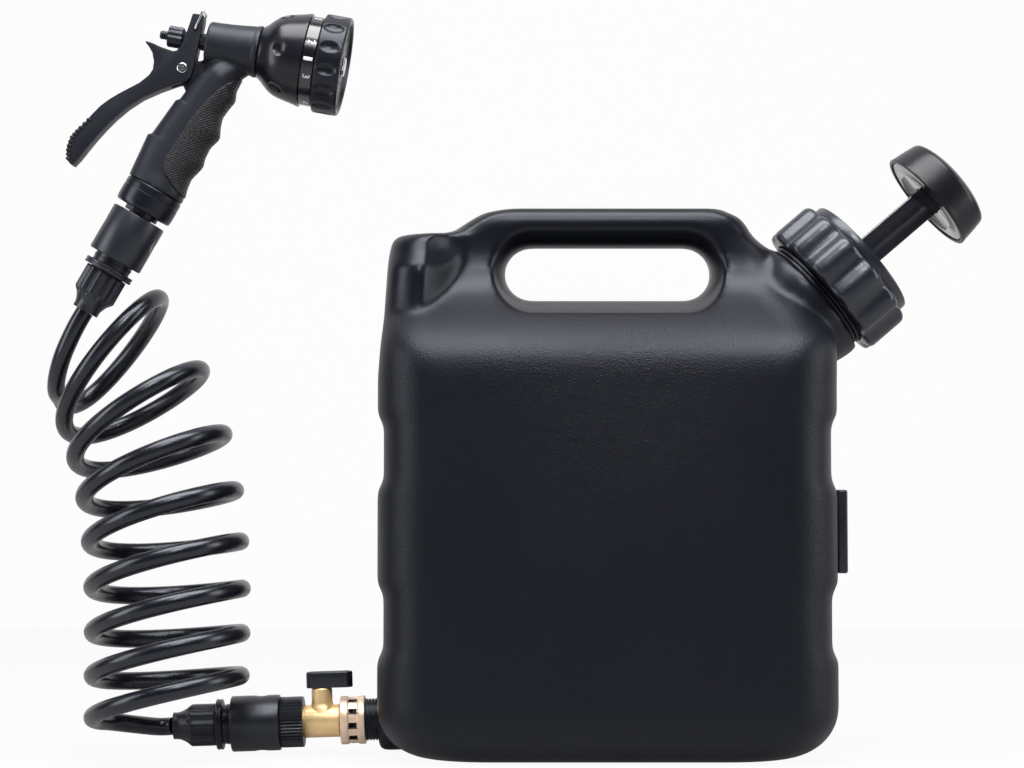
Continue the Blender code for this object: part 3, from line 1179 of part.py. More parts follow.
def make_lever():
    """The trigger lever with its pin, and the wire clip that holds it squeezed."""
    along, above = PIVOT
    top = BARREL_RADIUS + 2.2 * MM
    outline = [
        (LEVER_BACK, top),
        (LEVER_BACK + 7.2 * MM, top + 0.6 * MM),
        (along + 7.0 * MM, above + 6 * MM),
        (along + 6.2 * MM, above - 5 * MM),
        (along - 1.7 * MM, above - 10.2 * MM),
        (along - 22.4 * MM, above - 23.3 * MM),
        (along - 37.2 * MM, above - 39.2 * MM),
        (along - 45.4 * MM, above - 51.6 * MM),
        (along - 54.0 * MM, above - 66.7 * MM),
        (along - 58.2 * MM, above - 74.1 * MM),
        (along - 62.0 * MM, above - 71.5 * MM),
        (along - 63.7 * MM, above - 62.5 * MM),
        (along - 61.9 * MM, above - 54.6 * MM),
        (along - 55.7 * MM, above - 45.9 * MM),
        (along - 47.5 * MM, above - 33.2 * MM),
        (along - 37.5 * MM, above - 23.4 * MM),
        (along - 25.4 * MM, above - 13.9 * MM),
        (along - 19.0 * MM, above - 4.0 * MM),
        (along - 26.5 * MM, above + 12.7 * MM),
        (along - 22.0 * MM, above + 12.6 * MM),
        (along - 8.0 * MM, above + 9.0 * MM),
        (LEVER_BACK, above + 11.0 * MM),
    ]
    lever = plate("trigger_lever", outline, LEVER_HALF, SOFT_RUBBER, HEAD)
    slot = LUG_HALF + 0.4 * MM
    reach = LUG_RADIUS + 1.0 * MM
    low = (above - 30 * MM, -slot, along - reach)
    high = (above + reach + 4 * MM, slot, along + 20 * MM)
    cut(lever, block("slot", low, high, SOFT_RUBBER, HEAD))
    rod = VALVE_ROD_RADIUS
    low = (-rod - 2.0 * MM, -rod - 0.5 * MM, LEVER_BACK - 3 * MM)
    high = (rod + 2.0 * MM, rod + 0.5 * MM, LEVER_BACK + 10 * MM)
    cut(lever, block("rod_slot", low, high, SOFT_RUBBER, HEAD))
    pin = frame_at(HEAD @ Vector((above, 0, along)), (0, 1, 0), (0, 0, 1))
    cut(lever, cylinder("pin_hole", PIN_RADIUS + 0.15 * MM, -0.02, 0.02, SOFT_RUBBER, pin, FEW_STEPS))
    head = PIN_RADIUS + 1.2 * MM
    end = LEVER_HALF + 0.9 * MM
    face = LEVER_HALF + GAP
    shaft = [(0, -end), (head, -end), (head, -face), (PIN_RADIUS, -face), (PIN_RADIUS, face)]
    shaft += [(head, face), (head, end), (0, end)]
    turned("lever_pin", shaft, STEEL, pin, FEW_STEPS)
    clip_along, clip_above = CLIP_PIVOT
    clip = frame_at(HEAD @ Vector((clip_above, 0, clip_along)), (0, 1, 0), (0, 0, 1))
    cut(lever, cylinder("clip_hole", CLIP_WIRE + 0.2 * MM, -0.02, 0.02, SOFT_RUBBER, clip, 12))


def make_clip():
    """The bent wire bail: its two ends turn in the lever's sides and its bar lies above."""
    clip_along, clip_above = CLIP_PIVOT
    inner = LEVER_HALF - 2.4 * MM
    outer = LEVER_HALF + CLIP_WIRE + 0.7 * MM
    bend = 1.2 * MM
    lean = 0.22
    path = [(0, -inner), (0, -outer + bend), (bend, -outer), (CLIP_HEIGHT - bend, -outer), (CLIP_HEIGHT, -outer + bend)]
    path += [(rise, -side) for rise, side in path[::-1]]
    sides = 8
    rings = []
    for i, (rise, side) in enumerate(path):
        before = path[max(i - 1, 0)]
        after = path[min(i + 1, len(path) - 1)]
        run = Vector((after[0] - before[0], after[1] - before[1], lean * (after[0] - before[0]))).normalized()
        flat = Vector((-lean, 0, 1)).normalized()
        normal = run.cross(flat).normalized()
        centre = Vector((clip_above + rise, side, clip_along + lean * rise))
        ring = []
        for j in range(sides):
            angle = math.tau * j / sides
            ring.append(centre + CLIP_WIRE * (math.cos(angle) * normal + math.sin(angle) * flat))
        rings.append(ring)
    skinned("hold_clip", rings, STEEL, HEAD)


def make_valve_rod():
    """The gun's valve: rod, poppet, return spring, packing nut and adjusting knob."""
    rod = [(0, VALVE_ROD_BACK), (VALVE_ROD_RADIUS - 0.4 * MM, VALVE_ROD_BACK)]
    rod += [(VALVE_ROD_RADIUS, VALVE_ROD_BACK + 0.6 * MM), (VALVE_ROD_RADIUS, VALVE_ROD_FRONT), (0, VALVE_ROD_FRONT)]
    turned("valve_rod", rod, STEEL, HEAD, FEW_STEPS)
    start = VALVE_ROD_FRONT + GAP
    poppet = [(0, start), (POPPET_RADIUS, start), (POPPET_RADIUS - 1 * MM, start + POPPET_LENGTH), (0, start + POPPET_LENGTH)]
    turned("poppet", poppet, SOFT_RUBBER, HEAD, FEW_STEPS)
    low = BARREL_BACK + ROD_TRAVEL + 1.5 * MM
    high = VALVE_ROD_FRONT - GAP
    spring = [(VALVE_ROD_RADIUS + 0.4 * MM, low), (POPPET_RADIUS - 1 * MM, low)]
    spring += [(POPPET_RADIUS - 1 * MM, high), (VALVE_ROD_RADIUS + 0.4 * MM, high)]
    turned("return_spring", spring, STEEL, HEAD, FEW_STEPS)
    bore = VALVE_ROD_RADIUS + 0.3 * MM
    nut = [(bore, -PACKING_NUT_LENGTH), (PACKING_NUT_RADIUS, -PACKING_NUT_LENGTH), (PACKING_NUT_RADIUS, -GAP)]
    nut += [(PACKING_SPIGOT, -GAP), (PACKING_SPIGOT, BARREL_BACK - 1 * MM), (bore, BARREL_BACK - 1 * MM)]
    turned("packing_nut", nut, BLACK_PLASTIC, HEAD, FEW_STEPS)
    knob = [
        (bore, ADJUSTER_BACK),
        (ADJUSTER_RADIUS - 1 * MM, ADJUSTER_BACK),
        (ADJUSTER_RADIUS, ADJUSTER_BACK + 1 * MM),
        (ADJUSTER_RADIUS, ADJUSTER_SHOULDER),
        (ADJUSTER_CONE, ADJUSTER_FRONT),
        (bore, ADJUSTER_FRONT),
    ]
    turned("adjusting_knob", knob, BLACK_PLASTIC, HEAD, FEW_STEPS)


def make_grip_pad():
    """The soft pad laid on the grip's two sides and front."""
    rings = []
    for along in grip_levels()[1:-PAD_BARE_COUNT]:
        outer = grip_section(along, PAD_THICKNESS + PAD_GAP)
        inner = grip_section(along, PAD_GAP)
        keep = range(-PAD_POINTS, PAD_POINTS + 1)
        rings.append([outer[k] for k in keep] + [inner[k] for k in reversed(keep)])
    skinned("grip_pad", rings, SOFT_RUBBER, UPPER)


clear_scene()
make_tank_shell()
make_side_plate()
make_collar()
make_pump()
make_outlet()
make_swivel_nut()
make_tap()
make_hose_connector("lower", LOWER)
make_hose_connector("upper", UPPER)
make_tap_adaptor()
make_hose()
make_gun_tail()
make_gun_body()
make_grip_pad()
make_gun_front()
make_lever()
make_clip()
make_valve_rod()
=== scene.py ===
"""The looks of a portable water tank with a hand air pump, a brass tap, a coiled hose and a spray gun.

Metres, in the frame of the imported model: +Z up, the tank's front at -Y, the pump at +X.
"""
import math

import bmesh
import bpy
from mathutils import Matrix, Vector


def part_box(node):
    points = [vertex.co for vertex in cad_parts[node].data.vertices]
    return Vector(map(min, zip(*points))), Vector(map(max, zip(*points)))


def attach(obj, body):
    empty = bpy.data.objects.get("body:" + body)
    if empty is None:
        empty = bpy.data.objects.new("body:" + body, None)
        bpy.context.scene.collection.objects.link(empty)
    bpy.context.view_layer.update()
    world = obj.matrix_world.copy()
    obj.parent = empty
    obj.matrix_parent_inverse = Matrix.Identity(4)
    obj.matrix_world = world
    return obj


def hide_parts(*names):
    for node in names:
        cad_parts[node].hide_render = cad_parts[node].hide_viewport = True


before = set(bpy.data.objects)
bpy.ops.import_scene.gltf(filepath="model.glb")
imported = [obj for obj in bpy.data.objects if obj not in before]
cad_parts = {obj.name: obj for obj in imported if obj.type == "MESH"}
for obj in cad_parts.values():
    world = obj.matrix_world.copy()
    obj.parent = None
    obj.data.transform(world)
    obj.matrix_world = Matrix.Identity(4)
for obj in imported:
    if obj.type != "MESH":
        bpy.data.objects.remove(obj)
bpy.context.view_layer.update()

# Camera
# A long studio lens low in front of the tank, looking up a little.
bpy.ops.object.select_all(action="DESELECT")
bpy.ops.object.camera_add(location=(-0.0628, -1.622, 0.1658), rotation=(math.radians(92.70), 0, 0))
camera = bpy.context.object
camera.name = "camera"
camera.data.lens = 86.48
camera.data.sensor_width = 36
camera.data.clip_start = 0.05
bpy.context.scene.camera = camera
bpy.context.scene.view_settings.view_transform = "Standard"

# Coiled hose
# A glossy black polyurethane tube, wound on a mandrel so that it springs back into its turns.
# It runs straight out of the lower connector, climbs in seven turns and ends straight in the upper one.


def mm(sizes):
    """Groups of sizes written in millimetres, in metres."""
    return [tuple(size / 1000 for size in group) for group in sizes]


hose_diameter = 0.0116
hose_gap = 0.0003
outlet_sag, upper_slope = math.radians(1.9), math.radians(60.3)
lower_end = Vector((-0.28443, 0, 0.01784))
lower_way = Vector((-math.cos(outlet_sag), 0, -math.sin(outlet_sag)))
upper_end = Vector((-0.3381, -0.040, 0.2875))
upper_way = Vector((math.cos(upper_slope), 0, math.sin(upper_slope)))
coil_first, coil_last, coil_turns = -0.68, 7.50, 7.0
hose_route = mm([(-362, -8.5, 237.6), (-358.4, -25, 246.8), (-352.2, -36.2, 260.8)])


def coil_point(turn):
    """A point of the coil's line; its turns widen, lean and nod more and more on their way up."""
    share = max(turn, 0.0) / coil_turns
    radius = 0.0472 + 0.002 * share
    centre = Vector((
        -0.2826 - 0.0456 * share ** 3.5,
        -0.0472 + 0.0505 * share ** 2,
        0.0468 + 0.0263 * turn + 0.0296 * share ** 2,
    ))
    tilt = math.radians(8.7 + 40.2 * share ** 4.2)
    nod = math.radians(6.0 + 13.0 * share ** 3)
    across = Vector((math.cos(tilt), 0, math.sin(tilt)))
    forward = Vector((0, -math.cos(nod), math.sin(nod)))
    angle = math.tau * turn
    return centre + radius * (math.cos(angle) * across - math.sin(angle) * forward)


def smooth_line(points, parts):
    """A soft line through points, with so many parts between each two."""
    line = []
    for i in range(len(points) - 1):
        before, after = points[max(i - 1, 0)], points[min(i + 2, len(points) - 1)]
        a, b = points[i], points[i + 1]
        for j in range(parts):
            t = j / parts
            bend = (b - before) * (t ** 3 - 2 * t ** 2 + t) / 2 + (after - a) * (t ** 3 - t ** 2) / 2
            line.append(a * (2 * t ** 3 - 3 * t ** 2 + 1) + b * (3 * t ** 2 - 2 * t ** 3) + bend)
    return line + [points[-1]]


coil_span = coil_last - coil_first
coil_count = round(coil_span * 22)
coil = [coil_point(coil_first + coil_span * i / coil_count) for i in range(coil_count + 1)]
lead_in = smooth_line([
    lower_end + lower_way * hose_gap,
    lower_end + lower_way * (hose_gap + hose_diameter),
    coil[2],
], 2)[:-1]
lead_out = smooth_line(
    [coil[-2], coil[-1]] + [Vector(p) for p in hose_route]
    + [upper_end - upper_way * (hose_gap + hose_diameter), upper_end - upper_way * hose_gap],
    2,
)
hose_points = smooth_line(lead_in + coil[2:-2] + lead_out, 3)
hose_length = sum((b - a).length for a, b in zip(hose_points, hose_points[1:]))
hose_curve = bpy.data.curves.new("hose", "CURVE")
hose_curve.dimensions = "3D"
hose_curve.bevel_depth = hose_diameter / 2
hose_curve.bevel_resolution = 8
hose_curve.use_fill_caps = True
hose_line = hose_curve.splines.new("POLY")
hose_line.points.add(len(hose_points) - 1)
for spot, point in zip(hose_line.points, hose_points):
    spot.co = (*point, 1)
hose = bpy.data.objects.new("hose", hose_curve)
bpy.context.scene.collection.objects.link(hose)


class Value:
    """A shader socket that takes part in Python sums."""

    def __init__(self, coat, socket):
        self.coat = coat
        self.socket = socket

    def maths(self, operation, *values):
        return self.coat.node("Math", {"operation": operation}, *values)

    def __add__(self, other):
        return self.maths("ADD", self, other)

    def __radd__(self, other):
        return self.maths("ADD", other, self)

    def __sub__(self, other):
        return self.maths("SUBTRACT", self, other)

    def __mul__(self, other):
        return self.maths("MULTIPLY", self, other)


class Coat:
    """A finish: one Principled shader, with the nodes that vary it."""

    def __init__(self, name, colour, roughness, metallic=0.0, **sockets):
        self.material = bpy.data.materials.new(name)
        self.material.use_nodes = True
        self.tree = self.material.node_tree
        self.shader = self.tree.nodes["Principled BSDF"]
        self.set("Base Color", (*colour, 1))
        self.set("Roughness", roughness)
        self.set("Metallic", metallic)
        for key, value in sockets.items():
            self.set(key.replace("_", " "), value)

    def node(self, kind, settings=None, *values, out=0, **sockets):
        """Adds a shader node: its settings, its inputs in order and by name, and the output wanted."""
        item = self.tree.nodes.new("ShaderNode" + kind)
        for key, value in (settings or {}).items():
            if key == "stops":
                while len(item.color_ramp.elements) < len(value):
                    item.color_ramp.elements.new(0.5)
                for stop, (place, grey) in zip(item.color_ramp.elements, value):
                    stop.position = place
                    stop.color = (grey, grey, grey, 1)
            else:
                setattr(item, key, value)
        named = [(key.replace("_", " "), value) for key, value in sockets.items()]
        for key, value in list(enumerate(values)) + named:
            if isinstance(value, Value):
                self.tree.links.new(value.socket, item.inputs[key])
            else:
                item.inputs[key].default_value = value
        return Value(self, item.outputs[out])

    def set(self, socket, value):
        if isinstance(value, Value):
            self.tree.links.new(value.socket, self.shader.inputs[socket])
        else:
            self.shader.inputs[socket].default_value = value

    def place(self):
        return self.node("TexCoord", out=3)

    def noise(self, scale, detail=2.0, place=None):
        return self.node("TexNoise", Vector=place or self.place(), Scale=scale, Detail=detail)

    def bump(self, height, distance, strength=1.0):
        self.set("Normal", self.node("Bump", Height=height, Distance=distance, Strength=strength))

    def on(self, item):
        item.data.materials.clear()
        item.data.materials.append(self.material)


cool_shine = (0.86, 0.90, 1.0, 1)


def worn_coat(name, colour, rough, wear, grain, height, strength, detail=2.0, **sockets):
    """A finish with soft clouds of wear in its roughness and a fine grain on its surface."""
    coat = Coat(name, colour, rough[0], **sockets)
    coat.set("Roughness", rough[0] + coat.noise(wear, 4.0) * rough[1])
    coat.bump(coat.noise(grain, detail), height, strength)
    return coat


hose_coat = worn_coat("hose_gloss", (0.0055, 0.0060, 0.0090), (0.18, 0.18), 60, 180, 0.00015, 0.35,
                      Specular_Tint=cool_shine)
hose_coat.on(hose)
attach(hose, "tank")
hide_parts("coil_hose")

# Tank shell
# Black polyethylene, blow moulded in one piece: a body with two waists, a sloping shoulder, a hollow
# handle, the neck for the pump and the boss for the outlet. Grained body, smooth handle.
tank_left, tank_right, tank_half_depth = 0.149, 0.1455, 0.0825
tank_top, shoulder_foot = 0.3575, 0.255
shoulder_line = mm([
    (246, 82.5), (256, 81.2), (264, 77), (272, 70), (280, 60.5), (288, 49.5), (296, 39.5), (304, 31.8),
    (312, 26.7), (322, 23.5), (334, 22), (360, 22),
])
base_rise, base_side, base_front = 0.034, 0.036, 0.024
waist_depth, waist_heights, waist_half, waist_ramp = 0.004, (0.088, 0.196), 0.016, 0.010
handle_half_depth, handle_edge = 0.022, 0.011
lobe_top, lobe_length, lobe_slant, lobe_corner, lobe_depth = 0.3395, 0.059, 1.15, 0.024, 0.068
dish_x, dish_z, dish_wide, dish_high, dish_deep = -0.1165, 0.336, 0.0225, 0.020, 0.010
tank_corner, corner_fade = 0.038, 1.3
hole_left, hole_right, hole_bottom, hole_top = -0.0675, 0.068, 0.297, 0.332
neck_flare, flare_half, flare_reach = 0.045, 0.052, 0.040
pump_x, pump_z, shoulder_drop = 0.1405, 0.3023, 0.0115


def frame_at(origin, along, side=(0, 1, 0)):
    """A place whose own Z runs along a direction and whose own Y is the given side."""
    z_axis = Vector(along).normalized()
    y_axis = Vector(side)
    x_axis = y_axis.cross(z_axis).normalized()
    matrix = Matrix((x_axis, y_axis, z_axis)).transposed().to_4x4()
    matrix.translation = Vector(origin)
    return matrix


pump_angle = math.radians(40.5)
pump_place = frame_at((pump_x, 0, pump_z), (math.cos(pump_angle), 0, math.sin(pump_angle)))
outlet_place = frame_at((-0.150, 0, 0.0223), lower_way)


def ease(value):
    """A soft step from 0 to 1."""
    value = min(max(value, 0.0), 1.0)
    return value * value * (3 - 2 * value)


def soft_max(a, b, blend):
    """The larger of two values, rounded where they meet."""
    gap = max(blend - abs(a - b), 0.0) / blend
    return max(a, b) + gap * gap * blend / 4


def read(value, pairs, reach=0.0):
    """Reads a value from pairs of (place, value), averaged over a reach so that it bends softly."""
    total = 0.0
    for step in (-1, -0.5, 0, 0.5, 1) if reach else (0,):
        spot = min(max(value + step * reach, pairs[0][0]), pairs[-1][0])
        for (a, first), (b, second) in zip(pairs, pairs[1:]):
            if spot <= b:
                total += first + (second - first) * (spot - a) / (b - a)
                break
    return total / (5 if reach else 1)


def pump_spot(along, across):
    """X and Z of a spot given along and across the pump's axis."""
    spot = pump_place @ Vector((across, 0, along))
    return spot.x, spot.z


def left_edge(z):
    """X of the tank's left side at a height."""
    return read(z, [
        (0.0, -tank_left),
        (shoulder_foot - 0.012, -tank_left),
        (shoulder_foot + 0.022, -tank_left + 0.0026),
        (lobe_top - 0.017, -tank_left + 0.0055),
        (lobe_top - 0.006, -tank_left + 0.0072),
        (lobe_top - 0.0012, -tank_left + 0.0105),
        (lobe_top, -tank_left + 0.015),
        (lobe_top + 0.001, -0.1050),
        (0.3445, -0.0985),
        (0.3505, -0.0895),
        (0.3545, -0.0825),
        (0.3565, -0.0750),
        (tank_top, -0.0640),
    ], 0.0008)


def right_edge(z):
    """X of the tank's right side at a height, up round the pump's shoulder to the handle."""
    low_x, low_z = pump_spot(-shoulder_drop - 0.003, 0.033)
    high_x, high_z = pump_spot(-shoulder_drop + 0.0055, -0.038)
    end_x, end_z = pump_spot(-shoulder_drop + 0.0015, -0.056)
    return read(z, [
        (0.0, tank_right),
        (shoulder_foot - 0.008, tank_right),
        (low_z, min(low_x, tank_right)),
        (high_z, high_x),
        (end_z, end_x),
        (tank_top - 0.008, end_x - 0.0065),
        (tank_top - 0.003, end_x - 0.0125),
        (tank_top, end_x - 0.025),
    ], 0.003)


def waist_at(z):
    """How deep the waists are at a height."""
    away = min(abs(z - middle) for middle in waist_heights) - waist_half
    return waist_depth * (1 - ease(away / waist_ramp))


def half_depth(x, z):
    """Half the tank's depth: shoulder, handle, the lobe at the left and the swelling under the pump."""
    top = min(max((z - tank_top + handle_edge) / handle_edge, 0.0), 1.0)
    body = read(z, shoulder_line, 0.005) - handle_edge * (1 - math.sqrt(1 - top * top))
    lobe = handle_half_depth - 0.004 + lobe_slant * max(lobe_length - tank_left - x, 0.0)
    across = (z - pump_z) * math.cos(pump_angle) - (x - pump_x) * math.sin(pump_angle)
    flare = neck_flare * max(1 - (across / flare_half) ** 2, 0.0)
    flare *= ease((x - hole_right - 0.006) / flare_reach)
    body = soft_max(body, flare, 0.022)
    if z > lobe_top:
        return body
    dish = max(1 - ((x - dish_x) / dish_wide) ** 2 - ((z - dish_z) / dish_high) ** 2, 0.0)
    lobe -= dish_deep * dish
    lobe = -soft_max(-lobe, -lobe_depth, 0.030)
    return min(soft_max(body, lobe, 0.004), tank_half_depth)


def tank_section(height, inset=0.0, corner_points=12, front_points=70):
    """The tank's outline at a height, as points round it."""
    z = height + inset * (2 * ease((height - base_rise) / (shoulder_foot - base_rise)) - 1)
    low = max(1 - z / base_rise, 0.0)
    tuck = 1 - math.sqrt(max(1 - low * low, 0.0))
    waist = waist_at(z)
    left = left_edge(z) + tuck * base_side + inset
    right = right_edge(z) - tuck * base_side - inset
    corner = tank_corner + (lobe_corner - tank_corner) * ease((z - shoulder_foot + 0.020) / 0.060)

    def depth_at(x):
        return half_depth(x, z) - tuck * base_front - inset

    left_corner = min(corner, 0.8 * depth_at(left + corner))
    right_corner = min(corner, 0.8 * depth_at(right - corner))
    side = depth_at(left + left_corner) - left_corner
    half = [(left + waist, -side * i / 4) for i in range(4)]
    for i in range(corner_points + 1):
        angle = math.pi / 2 * i / corner_points
        reach = left_corner - waist * (1 - ease(angle / corner_fade))
        half.append((left + left_corner - reach * math.cos(angle), -side - reach * math.sin(angle)))
    start, end = left + left_corner, right - right_corner
    for i in range(1, front_points):
        x = start + (end - start) * i / front_points
        half.append((x, -depth_at(x)))
    side = depth_at(right - right_corner) - right_corner
    for i in range(corner_points + 1):
        angle = math.pi / 2 * (1 - i / corner_points)
        reach = right_corner - waist * (1 - ease(angle / corner_fade))
        half.append((right - right_corner + reach * math.cos(angle), -side - reach * math.sin(angle)))
    half += [(right - waist, -side * i / 4) for i in (3, 2, 1, 0)]
    back = [(x, -y) for x, y in half[-2:0:-1]]
    return [Vector((x, y, height)) for x, y in half + back]


def skinned(name, rings):
    """A closed skin over rings of as many points."""
    mesh = bmesh.new()
    loops = [[mesh.verts.new(point) for point in ring] for ring in rings]
    for low, high in zip(loops, loops[1:]):
        for i in range(len(low)):
            j = (i + 1) % len(low)
            mesh.faces.new((low[i], low[j], high[j], high[i]))
    mesh.faces.new(loops[0][::-1])
    mesh.faces.new(loops[-1])
    bmesh.ops.recalc_face_normals(mesh, faces=mesh.faces)
    data = bpy.data.meshes.new(name)
    mesh.to_mesh(data)
    mesh.free()
    piece = bpy.data.objects.new(name, data)
    bpy.context.scene.collection.objects.link(piece)
    return piece


def only(*pieces):
    """Selects these pieces and nothing else; the first is the active one."""
    bpy.ops.object.select_all(action="DESELECT")
    for piece in pieces:
        piece.select_set(True)
    bpy.context.view_layer.objects.active = pieces[0]


def apply(piece, kind, **settings):
    """Adds a modifier and applies it."""
    change = piece.modifiers.new(kind.lower(), kind)
    for key, value in settings.items():
        setattr(change, key, value)
    only(piece)
    bpy.ops.object.modifier_apply(modifier=change.name)


def cut(piece, *tools, operation="DIFFERENCE"):
    """Cuts tools out of a piece, or joins them to it."""
    for tool in tools:
        apply(piece, "BOOLEAN", operation=operation, solver="EXACT", object=tool)
        bpy.data.objects.remove(tool)


def drawn(points):
    """Draws a point out along a line of places, in edit mode."""
    bpy.ops.object.select_all(action="DESELECT")
    bpy.ops.mesh.primitive_plane_add(size=0.01, location=(0, 0, 0), enter_editmode=True)
    bpy.context.tool_settings.mesh_select_mode = (True, False, False)
    bpy.ops.mesh.select_all(action="SELECT")
    bpy.ops.mesh.merge(type="CENTER")
    bpy.ops.transform.translate(value=points[0])
    for start, end in zip(points, points[1:]):
        step = [b - a for a, b in zip(start, end)]
        if max(map(abs, step)) > 0.000001:
            bpy.ops.mesh.extrude_vertices_move(TRANSFORM_OT_translate={"value": step})
    bpy.ops.mesh.select_all(action="SELECT")
    return bpy.context.object


def turn_z(degrees):
    """A turn about Z."""
    return Matrix.Rotation(math.radians(degrees), 4, "Z")


def turned(profile, place=Matrix.Identity(4), steps=96):
    """A turned piece: a line through (radius, height) pairs, spun about Z."""
    ring = profile if profile[0][0] == 0 else profile + profile[:1]
    piece = drawn([(radius, 0, height) for radius, height in ring])
    bpy.ops.mesh.spin(steps=steps, angle=math.tau, center=(0, 0, 0), axis=(0, 0, 1))
    bpy.ops.mesh.select_all(action="SELECT")
    bpy.ops.mesh.remove_doubles(threshold=0.000002)
    bpy.ops.mesh.normals_make_consistent(inside=False)
    bpy.ops.object.mode_set(mode="OBJECT")
    settle(piece, place)
    return piece


def settle(piece, place):
    """Moves a piece to its place and leaves its object at the origin, unturned."""
    piece.matrix_world = place
    only(piece)
    bpy.ops.object.transform_apply(location=True, rotation=True, scale=True)


def bore(piece, radius, low, high, place, steps=48):
    """Bores a round hole; its radius and the heights of its ends are in millimetres."""
    cut(piece, turned(mm([(0, low), (radius, low), (radius, high), (0, high)]), place, steps))


def finish(piece, coat, name, body, slot, *nodes, angle=35):
    """Coats and names a finished piece, hangs it on the body that carries it and hides the solids of the
    model that it stands for.
    """
    coat.on(piece)
    piece.name = name
    piece.data.name = name
    only(piece)
    bpy.ops.object.shade_smooth_by_angle(angle=math.radians(angle))
    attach(piece, body)
    if nodes:
        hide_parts(*nodes)


def handle_slot(flare):
    """A block the shape of the handle's hole; flare: how much it grows below and above at each depth."""
    radius, middle = (hole_top - hole_bottom) / 2, (hole_top + hole_bottom) / 2
    rings = []
    for y, below, above in flare:
        ring = []
        for centre, first in ((hole_right - radius, -90), (hole_left + radius, 90)):
            for i in range(25):
                angle = math.radians(first + 7.5 * i)
                rise = math.sin(angle)
                grown = radius + below + (above - below) * (0.5 + 0.5 * rise)
                ring.append(Vector((centre + grown * math.cos(angle), y, middle + grown * rise)))
        rings.append(ring)
    return skinned("slot", rings)


base_shares = (0, 0.012, 0.046, 0.10, 0.17, 0.27, 0.38, 0.52, 0.67, 0.83, 1)
tank_levels = [base_rise * share for share in base_shares]
tank_levels += [base_rise + (lobe_top - 0.004 - base_rise) * i / 128 for i in range(1, 129)]
tank_levels += [lobe_top - 0.002, lobe_top - 0.0005, lobe_top, lobe_top + 0.0009]
tank_levels += [lobe_top + 0.003 + (tank_top - lobe_top - 0.003) * (i / 10) ** 0.7 for i in range(11)]
tank = skinned("tank", [tank_section(z) for z in tank_levels])
flare = mm([
    (3, 0, 0), (9, 0.5, 1), (14, 1.3, 3.2), (18, 2.2, 6.3), (21.5, 3.3, 10.8), (30, 5.8, 12.5),
    (50, 11, 15), (90, 21, 20),
])
flare = [(-y, below, above) for y, below, above in flare[::-1]] + flare
cut(tank, handle_slot(flare))
shoulder = turned(mm([
    (0, -45.5), (36.5, -45.5), (42.5, -15), (43.1, -8), (42.5, -5.8), (41, -4.5), (38.5, -4.2), (0, -4.2),
]), pump_place)
bpy.ops.object.select_all(action="DESELECT")
bpy.ops.mesh.primitive_cube_add(size=1, location=(0, 0, -0.0145), scale=(0.0384, 0.0384, 0.029))
boss = bpy.context.object
bpy.ops.object.transform_apply(location=True, rotation=True, scale=True)
apply(boss, "BEVEL", width=0.0045, segments=4)
settle(boss, outlet_place)
only(tank, shoulder, boss)
bpy.ops.object.join()
apply(tank, "REMESH", mode="VOXEL", voxel_size=0.0023)
apply(tank, "SMOOTH", factor=0.5, iterations=8)
neck = turned(mm([
    (0, -16), (38, -16), (38, -3), (40.2, -2.2), (40.2, -0.8), (38, 0), (38, 3.6), (40, 5.5), (40, 8.5),
    (38, 10.6), (38, 19), (0, 19),
]), pump_place)
wall, shoulder_wall, below_handle, above_handle = 0.0045, 0.0065, 0.0240, 0.0150
cavity = skinned("cavity", [
    tank_section(z, wall if z < 0.25 else shoulder_wall, corner_points=4, front_points=24)
    for z in [wall] + [0.012 + 0.338 * i / 52 for i in range(53)]
])
cut(cavity, handle_slot([(y, below_handle, above_handle) for y in (-0.2, 0.2)]))
cut(tank, neck, operation="UNION")
cut(tank, cavity)
pump_bore = mm([(0, -51.5), (24, -51.5), (34, -11.5), (34, 24), (0, 24)])
cut(tank, turned(pump_bore, pump_place))
bore(tank, 13.3, -49, 5, outlet_place)
tank_coat = Coat("tank_black", (0.0030, 0.0034, 0.0062), 0.40, Specular_IOR_Level=0.28,
                 Specular_Tint=cool_shine)
tank_spot = tank_coat.place()
tank_height = tank_coat.node("SeparateXYZ", Vector=tank_spot, out=2)
front_middle = (0.01, -0.08, 0.22)
soft = {"interpolation_type": "SMOOTHSTEP"}
middle_away = tank_coat.node("VectorMath", {"operation": "DISTANCE"}, tank_spot, front_middle, out=1)
middle = tank_coat.node("MapRange", soft, middle_away, 0.02, 0.13, 1.0, 0.0)
grain = tank_coat.noise(1500.0, 2.0, tank_spot)
pebbles = tank_coat.node("TexVoronoi", {"feature": "SMOOTH_F1"},
                         Vector=tank_spot, Scale=900.0, Smoothness=0.6)
blotches = tank_coat.noise(14.0, 3.0, tank_spot)
grain_edge = tank_height + (blotches - 0.5) * 0.03
below_shoulder = tank_coat.node("MapRange", soft, grain_edge, 0.312, 0.278, 0.0, 1.0)
tank_coat.set("Roughness", 0.34 + below_shoulder * 0.10 + (blotches - 0.5) * 0.12 - middle * 0.05)
tank_coat.bump((grain + pebbles) * (0.10 + below_shoulder * (0.60 + middle * 1.3)), 0.0004, 0.45)
finish(tank, tank_coat, "tank_body", "tank", "tank_plastic", "tank_shell", angle=50)

# Side plate
# A plain moulded plate with a sunk face, snapped on to the tank's right side. Black polypropylene.


def pick(kind, test):
    """Selects the verts, edges or faces that pass a test, in edit mode."""
    kinds = ("verts", "edges", "faces")
    bpy.context.tool_settings.mesh_select_mode = [kind == other for other in kinds]
    bpy.ops.mesh.select_all(action="DESELECT")
    mesh = bmesh.from_edit_mesh(bpy.context.edit_object.data)
    for item in getattr(mesh, kind):
        item.select_set(test(item))
    if kind == "verts":
        mesh.select_flush(True)
    bmesh.update_edit_mesh(bpy.context.edit_object.data)


